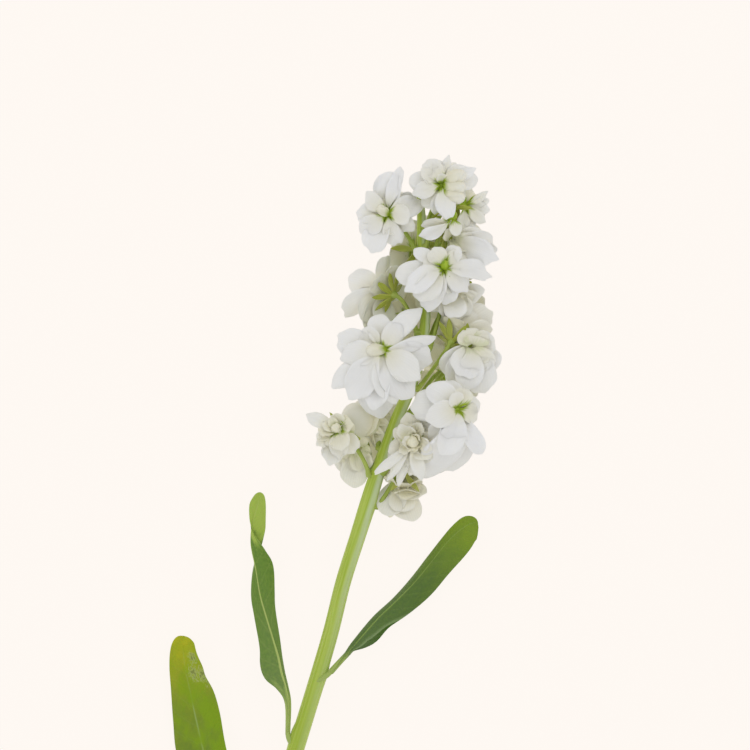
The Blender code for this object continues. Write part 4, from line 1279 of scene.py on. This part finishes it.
def dress_leaf(name, finish):
    """A leaf in full, with the clasp by which it sits on the stem."""
    stations = LEAVES[name]
    rng = random.Random(SEED + len(name))
    form = FullLeaf(stations, rng, NIBBLES.get(name, ()), name == CURLED)
    middles = [Vector(station[:3]) for station in stations]
    piece = Piece()
    piece.add(sheet(form, *LEAF_GRID, leaf_half), path_length(middles), 0.0)
    way = (middles[1] - middles[0]).normalized()
    inward = squared(stem_at(middles[0].y)[0] - middles[0], way).normalized()
    clasp = [middles[0] + way * up + inward * deep for up, deep in CLASP_PATH]
    steps = [i / CLASP_ROWS for i in range(CLASP_ROWS + 1)]
    path = [bezier(clasp, u) for u in steps]
    radii = [CLASP_RADIUS * (1 + 0.25 * math.sin(math.pi * u)) for u in steps]
    piece.add(pipe(path, radii, BUD_GRID[1]), 0.0, 0.0)
    piece.build("full_" + name, [finish[name]], [name])


def dress_buds(finish):
    """The closed buds of the growing tip, each of four sepals that meet at a point."""
    knob, way, buds = tip_layout()
    rows, sides = FLUTED_GRID
    piece = Piece()
    piece.add(egg(knob - way * 0.5, way, KNOB_RADIUS, KNOB_LENGTH + 0.8, *BUD_GRID), 5.0, 0.0)

    def fluted(_ring, turn, _out, radius):
        return radius * (1 - 0.12 * abs(math.cos(2 * turn)) ** 6)

    for k, (middle, lean) in enumerate(buds):
        centres = [middle + lean * BUD_LENGTH * (2 * i / rows - 1) for i in range(rows + 1)]
        shares = [math.sin(math.pi * (0.06 + 0.93 * i / rows)) ** 0.8 for i in range(rows + 1)]
        radii = [BUD_RADIUS * share for share in shares]
        piece.add(pipe(centres, radii, sides, fluted), 2 * BUD_LENGTH, k / BUDS)
    piece.build("tip_full", [finish["bud"]], ["tip_buds"])


# Finishes


def linear(hex_colour):
    """The linear values of an sRGB hex colour."""
    values = [int(hex_colour[i : i + 2], 16) / 255 for i in (1, 3, 5)]
    return [v / 12.92 if v <= 0.04045 else ((v + 0.055) / 1.055) ** 2.4 for v in values]


def add(tree, kind, *values, stops=(), read=None, **settings):
    """Adds a shader node and gives the output that is to be read, or else its first.

    Values go into its inputs in their order: numbers, sRGB hex colours or other nodes' outputs.
    A kind can name its operation after it.
    """
    kind, _, operation = kind.partition(" ")
    made = tree.nodes.new("ShaderNode" + kind)
    if operation:
        made.operation = operation
    for name, value in settings.items():
        setattr(made, name, value)
    for k, (place, hex_colour) in enumerate(stops):
        ramp = made.color_ramp.elements
        stop = ramp[k] if k < len(ramp) else ramp.new(place)
        stop.position = place
        stop.color = (*linear(hex_colour), 1)
    for socket, value in zip([socket for socket in made.inputs if socket.enabled], values):
        if isinstance(value, bpy.types.NodeSocket):
            tree.links.new(value, socket)
        elif isinstance(value, str):
            socket.default_value = (*linear(value), 1)
        else:
            socket.default_value = value
    if read:
        return made.outputs[read]
    return next(socket for socket in made.outputs if socket.enabled)


def finish_named(name, **values):
    """A material, its node tree and its shader, with values on the shader's own sockets."""
    made = bpy.data.materials.new(name)
    made.use_nodes = True
    shader = made.node_tree.nodes["Principled BSDF"]
    for key, value in values.items():
        shader.inputs[key.replace("_", " ")].default_value = value
    return made, made.node_tree, shader


def covered(tree, shader, colour, relief, strength, depth):
    """Gives the shader its colour, and a fine relief that is depth metres deep."""
    tree.links.new(colour, shader.inputs["Base Color"])
    raised = add(tree, "Bump", strength, depth, BUMP_FILTER, relief)
    tree.links.new(raised, shader.inputs["Normal"])


def fields(tree):
    """What a piece says of each point: how far along it is, how far across, and its shape's tone."""
    names = ("along", "across", "tone")
    return [add(tree, "Attribute", attribute_name=name, read="Fac") for name in names]


def grown_noise(tree, across_scale, along_scale, detail=2.0):
    """Noise stretched along a petal, leaf or stem, as its tissue grows.

    The scales are how many waves go over half a blade, or once round, and over a millimetre.
    """
    along, side, tone = fields(tree)
    place = add(tree, "CombineXYZ", side, along, tone)
    place = add(tree, "VectorMath MULTIPLY", place, (across_scale, along_scale, TONE_APART))
    return add(tree, "TexNoise", place, 1.0, detail)


def tinted(tree, colour, tint, value, start, end, low, high):
    """The colour, mixed with low of a tint where value is at start, up to high of it at end."""
    share = add(tree, "MapRange", value, start, end, low, high)
    return add(tree, "Mix", share, colour, tint, data_type="RGBA")


def petal_tissue(name, claw):
    """Petal tissue of double stock, white and matte. Light sinks in, so that it glows softly.

    The claw is as green as claw says, and runs out in fine streaks, through a creamy band, into the
    blade.
    """
    made, tree, shader = finish_named(
        name,
        Roughness=0.55,
        IOR=1.4,
        Subsurface_Weight=0.25,
        Subsurface_Radius=(0.8, 0.85, 1.0),
        Subsurface_Scale=0.001,
        Sheen_Weight=0.08,
        Sheen_Roughness=0.4,
    )
    along, side, tone = fields(tree)
    # Creamy near the claw, as the petal is. A high tone makes the whole petal creamier and its veins
    # darker; the florets in shade have high tones, so this is painted shade there.
    near = add(tree, "MapRange", along, 3.0, 13.0, 0.75, 0.0)
    cream_and_shade = add(tree, "Math ADD", near, tone, use_clamp=True)
    colour = add(tree, "Mix", cream_and_shade, "#f8f8f5", "#efebd0", data_type="RGBA")
    streaks = grown_noise(tree, 9.0, 0.10)
    spaced = add(tree, "Math MULTIPLY", side, math.pi * PETAL_VEINS)
    vein = add(tree, "Math SINE", add(tree, "Math MULTIPLY_ADD", streaks, 7.0, spaced))
    strength = add(tree, "Math MULTIPLY", tone, 0.09)
    fine = add(tree, "Math MULTIPLY_ADD", vein, strength, add(tree, "Math MULTIPLY", streaks, 0.08))
    colour = add(tree, "Mix", fine, colour, "#c4c7a8", data_type="RGBA")
    aside = add(tree, "Math POWER", add(tree, "Math ABSOLUTE", side), 1.5)
    ragged = add(tree, "Math MULTIPLY_ADD", aside, -3.0, along)
    ragged = add(tree, "Math MULTIPLY_ADD", streaks, 5.0, ragged)
    colour = tinted(tree, colour, "#9cb324", ragged, 3.6, 5.8, claw, 0.0)
    relief = add(tree, "Math MULTIPLY_ADD", vein, 0.1, grown_noise(tree, 9.0, 0.5))
    covered(tree, shader, colour, relief, 0.3, 0.00025)
    return made


def green_flesh(name, dark, light, edge, roughness=0.45, paling=0.0):
    """Firm green tissue of sepals, stalks and the eye, with a paler margin.

    Paling is how far a piece's tone takes it to the colour of its margin.
    """
    made, tree, shader = finish_named(
        name,
        Roughness=roughness,
        IOR=1.42,
        Subsurface_Weight=0.2,
        Subsurface_Radius=(0.7, 1.0, 0.3),
        Subsurface_Scale=0.0008,
    )
    _, side, tone = fields(tree)
    streaks = grown_noise(tree, 5.0, 0.25)
    colour = tinted(tree, dark, light, streaks, 0.35, 0.65, 0.0, 1.0)
    colour = tinted(tree, colour, edge, add(tree, "Math ABSOLUTE", side), 0.7, 1.0, 0.0, 0.8)
    if paling:
        pale = add(tree, "Math MULTIPLY", tone, paling)
        colour = add(tree, "Mix", pale, colour, edge, data_type="RGBA")
    covered(tree, shader, colour, streaks, 0.4, 0.0003)
    return made


def stem_skin():
    """The skin of a fresh green stem: ribbed and satin, with a painted highlight down one side."""
    made, tree, shader = finish_named(
        "stem skin with painted highlight",
        Roughness=0.42,
        IOR=1.45,
        Subsurface_Weight=0.15,
        Subsurface_Radius=(0.6, 1.0, 0.3),
        Subsurface_Scale=0.0015,
        Sheen_Weight=0.1,
    )
    along, side, _ = fields(tree)
    streaks = grown_noise(tree, 22.0, 0.035, 3.0)
    colour = tinted(tree, "#a3bb2c", "#bccf5c", streaks, 0.3, 0.7, 0.0, 1.0)
    # A pale stripe down one side, in patches and weaker towards the cut end: a painted highlight.
    aside = add(tree, "Math ABSOLUTE", add(tree, "Math SUBTRACT", side, HIGHLIGHT_AT))
    painted_highlight = add(tree, "MapRange", aside, HIGHLIGHT_EVEN, HIGHLIGHT_REACH, 0.9, 0.0)
    upper = add(tree, "MapRange", along, *HIGHLIGHT_FROM, 0.25, 1.0)
    patches = add(tree, "Math ADD", grown_noise(tree, 9.0, 0.05), 0.3)
    painted_highlight = add(tree, "Math MULTIPLY", painted_highlight, upper)
    painted_highlight = add(tree, "Math MULTIPLY", painted_highlight, patches, use_clamp=True)
    colour = add(tree, "Mix", painted_highlight, colour, "#d2dfb8", data_type="RGBA")
    covered(tree, shader, colour, streaks, 0.35, 0.0004)
    return made


def curl_highlight_and_shade(tree, colour, length):
    """Where the leaf's margin curls: a painted highlight on its crest, painted shade beyond it."""
    along, side, _ = fields(tree)
    share = add(tree, "Math DIVIDE", along, length)
    away = add(tree, "Math ABSOLUTE", add(tree, "Math SUBTRACT", share, CURL_AT))
    fold = add(tree, "Math MULTIPLY_ADD", away, -3.5, side)
    colour = tinted(tree, colour, "#a3ba80", fold, 0.3, 0.5, 0.0, 0.45)
    return tinted(tree, colour, "#3f6206", fold, 0.5, 0.56, 0.0, 1.0)


def grown_old(tree, colour, length, cloudy):
    """An old leaf is blotchy, yellower towards its tip, and dry in patches with a brown middle."""
    along, side, _ = fields(tree)
    blotches = add(tree, "Math MULTIPLY_ADD", side, 0.1, grown_noise(tree, 1.5, 0.09))
    colour = tinted(tree, colour, "#84a500", blotches, 0.38, 0.6, 0.0, 0.85)
    outer = add(tree, "MapRange", along, length * 0.55, length * 0.95, 0.0, 1.0)
    patchy = add(tree, "Math MULTIPLY", cloudy, 1.8)
    yellow = add(tree, "Math MULTIPLY", outer, patchy, use_clamp=True)
    colour = add(tree, "Mix", yellow, colour, "#b6b812", data_type="RGBA")
    specks = grown_noise(tree, 12.0, 0.5, 6.0)
    for place, aside in DRY_AT:
        ahead = add(tree, "Math SUBTRACT", along, length * place)
        beside = add(tree, "Math SUBTRACT", side, aside)
        beside = add(tree, "Math POWER", add(tree, "Math MULTIPLY", beside, LEAF_HALF), 2.0)
        ahead = add(tree, "Math POWER", ahead, 2.0)
        away = add(tree, "Math SQRT", add(tree, "Math MULTIPLY_ADD", ahead, 0.2, beside))
        ragged = add(tree, "Math MULTIPLY_ADD", specks, -9.0, away)
        colour = tinted(tree, colour, "#b4bd76", ragged, -3.2, -1.8, 0.6, 0.0)
        colour = tinted(tree, colour, "#5f6a1c", ragged, -3.9, -3.5, 0.6, 0.0)
    return colour


def leaf_blade(leaf):
    """A stock leaf: thick, matte and a little grey, with a pale rib and faint side veins.

    Its colour goes from the pale stalk to foot and middle, and turns to tip between two shares of
    its length.
    """
    length, foot, middle, tip, rib, rib_reach, turns = LEAF_LOOKS[leaf]
    made, tree, shader = finish_named(
        " ".join(reversed(leaf.split("_"))),
        Roughness=0.48,
        IOR=1.45,
        Subsurface_Weight=0.12,
        Subsurface_Radius=(0.5, 1.0, 0.25),
        Subsurface_Scale=0.001,
        Specular_IOR_Level=0.3,
        Sheen_Weight=0.04,
        Sheen_Roughness=0.5,
    )
    along, side, _ = fields(tree)
    aside = add(tree, "Math ABSOLUTE", side)
    cloudy = grown_noise(tree, 1.6, 0.07, 3.0)
    share = add(tree, "Math SUBTRACT", add(tree, "Math DIVIDE", along, length), 0.15)
    share = add(tree, "Math MULTIPLY_ADD", cloudy, 0.3, share)
    stops = [(0.08, LEAF_STALK), (0.16, foot), (turns[0], middle), (turns[1], tip)]
    colour = add(tree, "ValToRGB", share, stops=stops)
    mottle = grown_noise(tree, 7.0, 0.6, 4.0)
    colour = tinted(tree, colour, tip, mottle, 0.35, 0.75, 0.0, 0.2)
    slant = add(tree, "Math MULTIPLY_ADD", aside, -VEIN_SLANT, along)
    vein = add(tree, "Math SINE", add(tree, "Math MULTIPLY", slant, 2 * math.pi / VEIN_SPACING))
    ridge = add(tree, "MapRange", vein, 0.86, 1.0, 0.0, 1.0)
    faint = add(tree, "Math MULTIPLY", ridge, 0.07)
    colour = add(tree, "Mix", faint, colour, rib, data_type="RGBA")
    half_rib = add(tree, "MapRange", along, 0.0, length * 0.7, rib_reach, 0.0)
    beyond = add(tree, "Math SUBTRACT", aside, half_rib)
    colour = tinted(tree, colour, rib, beyond, 0.0, 0.04, 0.85, 0.0)
    # The curled margin gets a painted highlight on its crest and painted shade beyond it.
    if leaf == CURLED:
        colour = curl_highlight_and_shade(tree, colour, length)
    if leaf == OLD:
        colour = grown_old(tree, colour, length, cloudy)
    relief = add(tree, "Math MULTIPLY_ADD", ridge, -0.5, mottle)
    covered(tree, shader, colour, relief, 0.4, 0.0004)
    return made


# Floor, lights and camera


def plain_floor():
    """A pale sheet of paper that glows a little, so that shadows on it stay faint."""
    colour = (*linear(PAPER), 1)
    made, _, _ = finish_named(
        "pale paper",
        Base_Color=[PAPER_SHADE * value for value in colour[:3]] + [1],
        Roughness=0.9,
        Specular_IOR_Level=0.0,
        Emission_Color=colour,
        Emission_Strength=PAPER_GLOW,
    )
    mesh = bpy.data.meshes.new("floor")
    corners = ((-1, -1), (1, -1), (1, 1), (-1, 1))
    mesh.from_pydata([(x * FLOOR_REACH, y * FLOOR_REACH, 0) for x, y in corners], [], [(0, 1, 2, 3)])
    mesh.materials.append(made)
    floor = bpy.data.objects.new("floor", mesh)
    bpy.context.scene.collection.objects.link(floor)


def light(name, place, size, power, colour):
    """A square soft light that faces the middle of the flower head."""
    lamp = bpy.data.lights.new(name, "AREA")
    lamp.size = size
    lamp.energy = power
    lamp.color = linear(colour)
    obj = bpy.data.objects.new(name, lamp)
    bpy.context.scene.collection.objects.link(obj)
    obj.location = HOME @ Vector(place)
    aim = HOME @ Vector(HEAD_MIDDLE) - obj.location
    obj.rotation_euler = aim.to_track_quat("-Z", "Y").to_euler()


def studio():
    """Soft light from above and all round, and the camera straight over the stem."""
    scene = bpy.context.scene
    scene.view_settings.view_transform = "Standard"
    world = bpy.data.worlds.new("studio")
    world.use_nodes = True
    backdrop = world.node_tree.nodes["Background"]
    backdrop.inputs["Color"].default_value = (*linear(SKY), 1)
    backdrop.inputs["Strength"].default_value = SKY_STRENGTH
    scene.world = world
    for name, lamp in LIGHTS.items():
        light(name, *lamp)
    camera = bpy.data.objects.new("camera", bpy.data.cameras.new("camera"))
    scene.collection.objects.link(camera)
    camera.data.lens = LENS
    camera.data.sensor_width = SENSOR
    distance = LENS / SENSOR * FRAME_WIDTH * PIXEL
    camera.location = HOME @ Vector((0, 0, PLANE_HEIGHT + distance))
    camera.rotation_euler = (0, 0, LEAN)
    camera.data.clip_end = 100
    scene.camera = camera


# The scene


def home():
    """From the layout to the frame: to metres, turned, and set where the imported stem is."""
    turned = Matrix.Rotation(LEAN, 4, "Z") @ Matrix.Scale(MM, 4)
    low, _ = box_of([[turned @ point for point in stem_shape()[0]]])
    return Matrix.Translation(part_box("stem")[0] - Vector(low)) @ turned


def placed_solids():
    """What the solids of stem, tip, leaves, stalks and hearts fill, and where each stalk starts."""
    clearance = Clearance()
    clearance.add("stem", stem_shape())
    for shape in tip_shapes():
        clearance.add("tip_buds", shape)
    for name, stations in LEAVES.items():
        last = len(stations) - 1
        rows = [i / last for i in range(last + 1)]
        clearance.add(name, blade(Leaf(stations), rows, 4, LEAF_THICK, RIB_THICK - LEAF_THICK))
    reaches = {}
    for name in FLORETS:
        centre, axis, y, _ = floret(name)
        reaches[name], stalk = seated_stalk(centre, axis, y, clearance)
        clearance.add("calyx_" + name, stalk)
        clearance.add("bloom_" + name, lump(centre, axis, HEART_RADIUS, HEART_LENGTH, 8))
        if name == BALLED:
            clearance.add("bloom_" + name, ball(centre, axis))
    return clearance, reaches


def stem_roots():
    """Where each stalk and leaf leaves the stem: its y, the way it goes, and its ridge."""
    roots = []
    for name in FLORETS:
        centre, axis, y, _ = floret(name)
        roots.append((y, stalk_path(centre, axis, y, 0)[2], *STALK_RIDGE))
    for stations in LEAVES.values():
        foot = Vector(stations[0][:3])
        middle, way, _ = stem_at(foot.y)
        roots.append((foot.y, squared(foot - middle, way).normalized(), *LEAF_RIDGE))
    return roots


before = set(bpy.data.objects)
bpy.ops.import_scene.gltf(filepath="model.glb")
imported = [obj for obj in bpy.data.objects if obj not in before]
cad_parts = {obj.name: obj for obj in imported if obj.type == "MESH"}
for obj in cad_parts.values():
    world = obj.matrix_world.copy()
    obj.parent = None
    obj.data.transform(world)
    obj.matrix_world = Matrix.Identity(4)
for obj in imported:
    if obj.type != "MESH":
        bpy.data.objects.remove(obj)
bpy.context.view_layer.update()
HOME = home()
studio()
plain_floor()

finish = {
    "petal": petal_tissue("petal tissue", 1.0),
    "shut petal": petal_tissue("petal tissue of closed florets", 0.25),
    "eye": green_flesh("green eye", "#8fae1c", "#b4cb3c", "#b7c94a"),
    "sepal": green_flesh("sepal", "#93a02b", "#adb53f", "#c3c76c", paling=PALING),
    "stalk": green_flesh("floret stalk", "#94a83c", "#b0c05c", "#a6b655"),
    "bud": green_flesh("closed bud", "#66783a", "#8b9c58", "#a4b077", 0.6),
    "cut": green_flesh("cut pith", "#cfd89a", "#e2e6bd", "#dfe4b6", 0.7),
    "stem": stem_skin(),
    **{name: leaf_blade(name) for name in LEAVES},
}

clearance, reaches = placed_solids()
petals = {name: bloom_petals(name, clearance) for name in FLORETS}
sepals = {name: calyx_sepals(name, clearance) for name in FLORETS}
for name in FLORETS:
    rng = random.Random(SEED + 100 + int(name))
    filling = fill_petals(name, *petals[name], clearance, rng)
    dress_bloom(name, petals[name][0], filling, finish)
    dress_calyx(name, reaches[name], sepals[name], finish)
dress_stem(stem_roots(), finish)
for name in LEAVES:
    dress_leaf(name, finish)
dress_buds(finish)
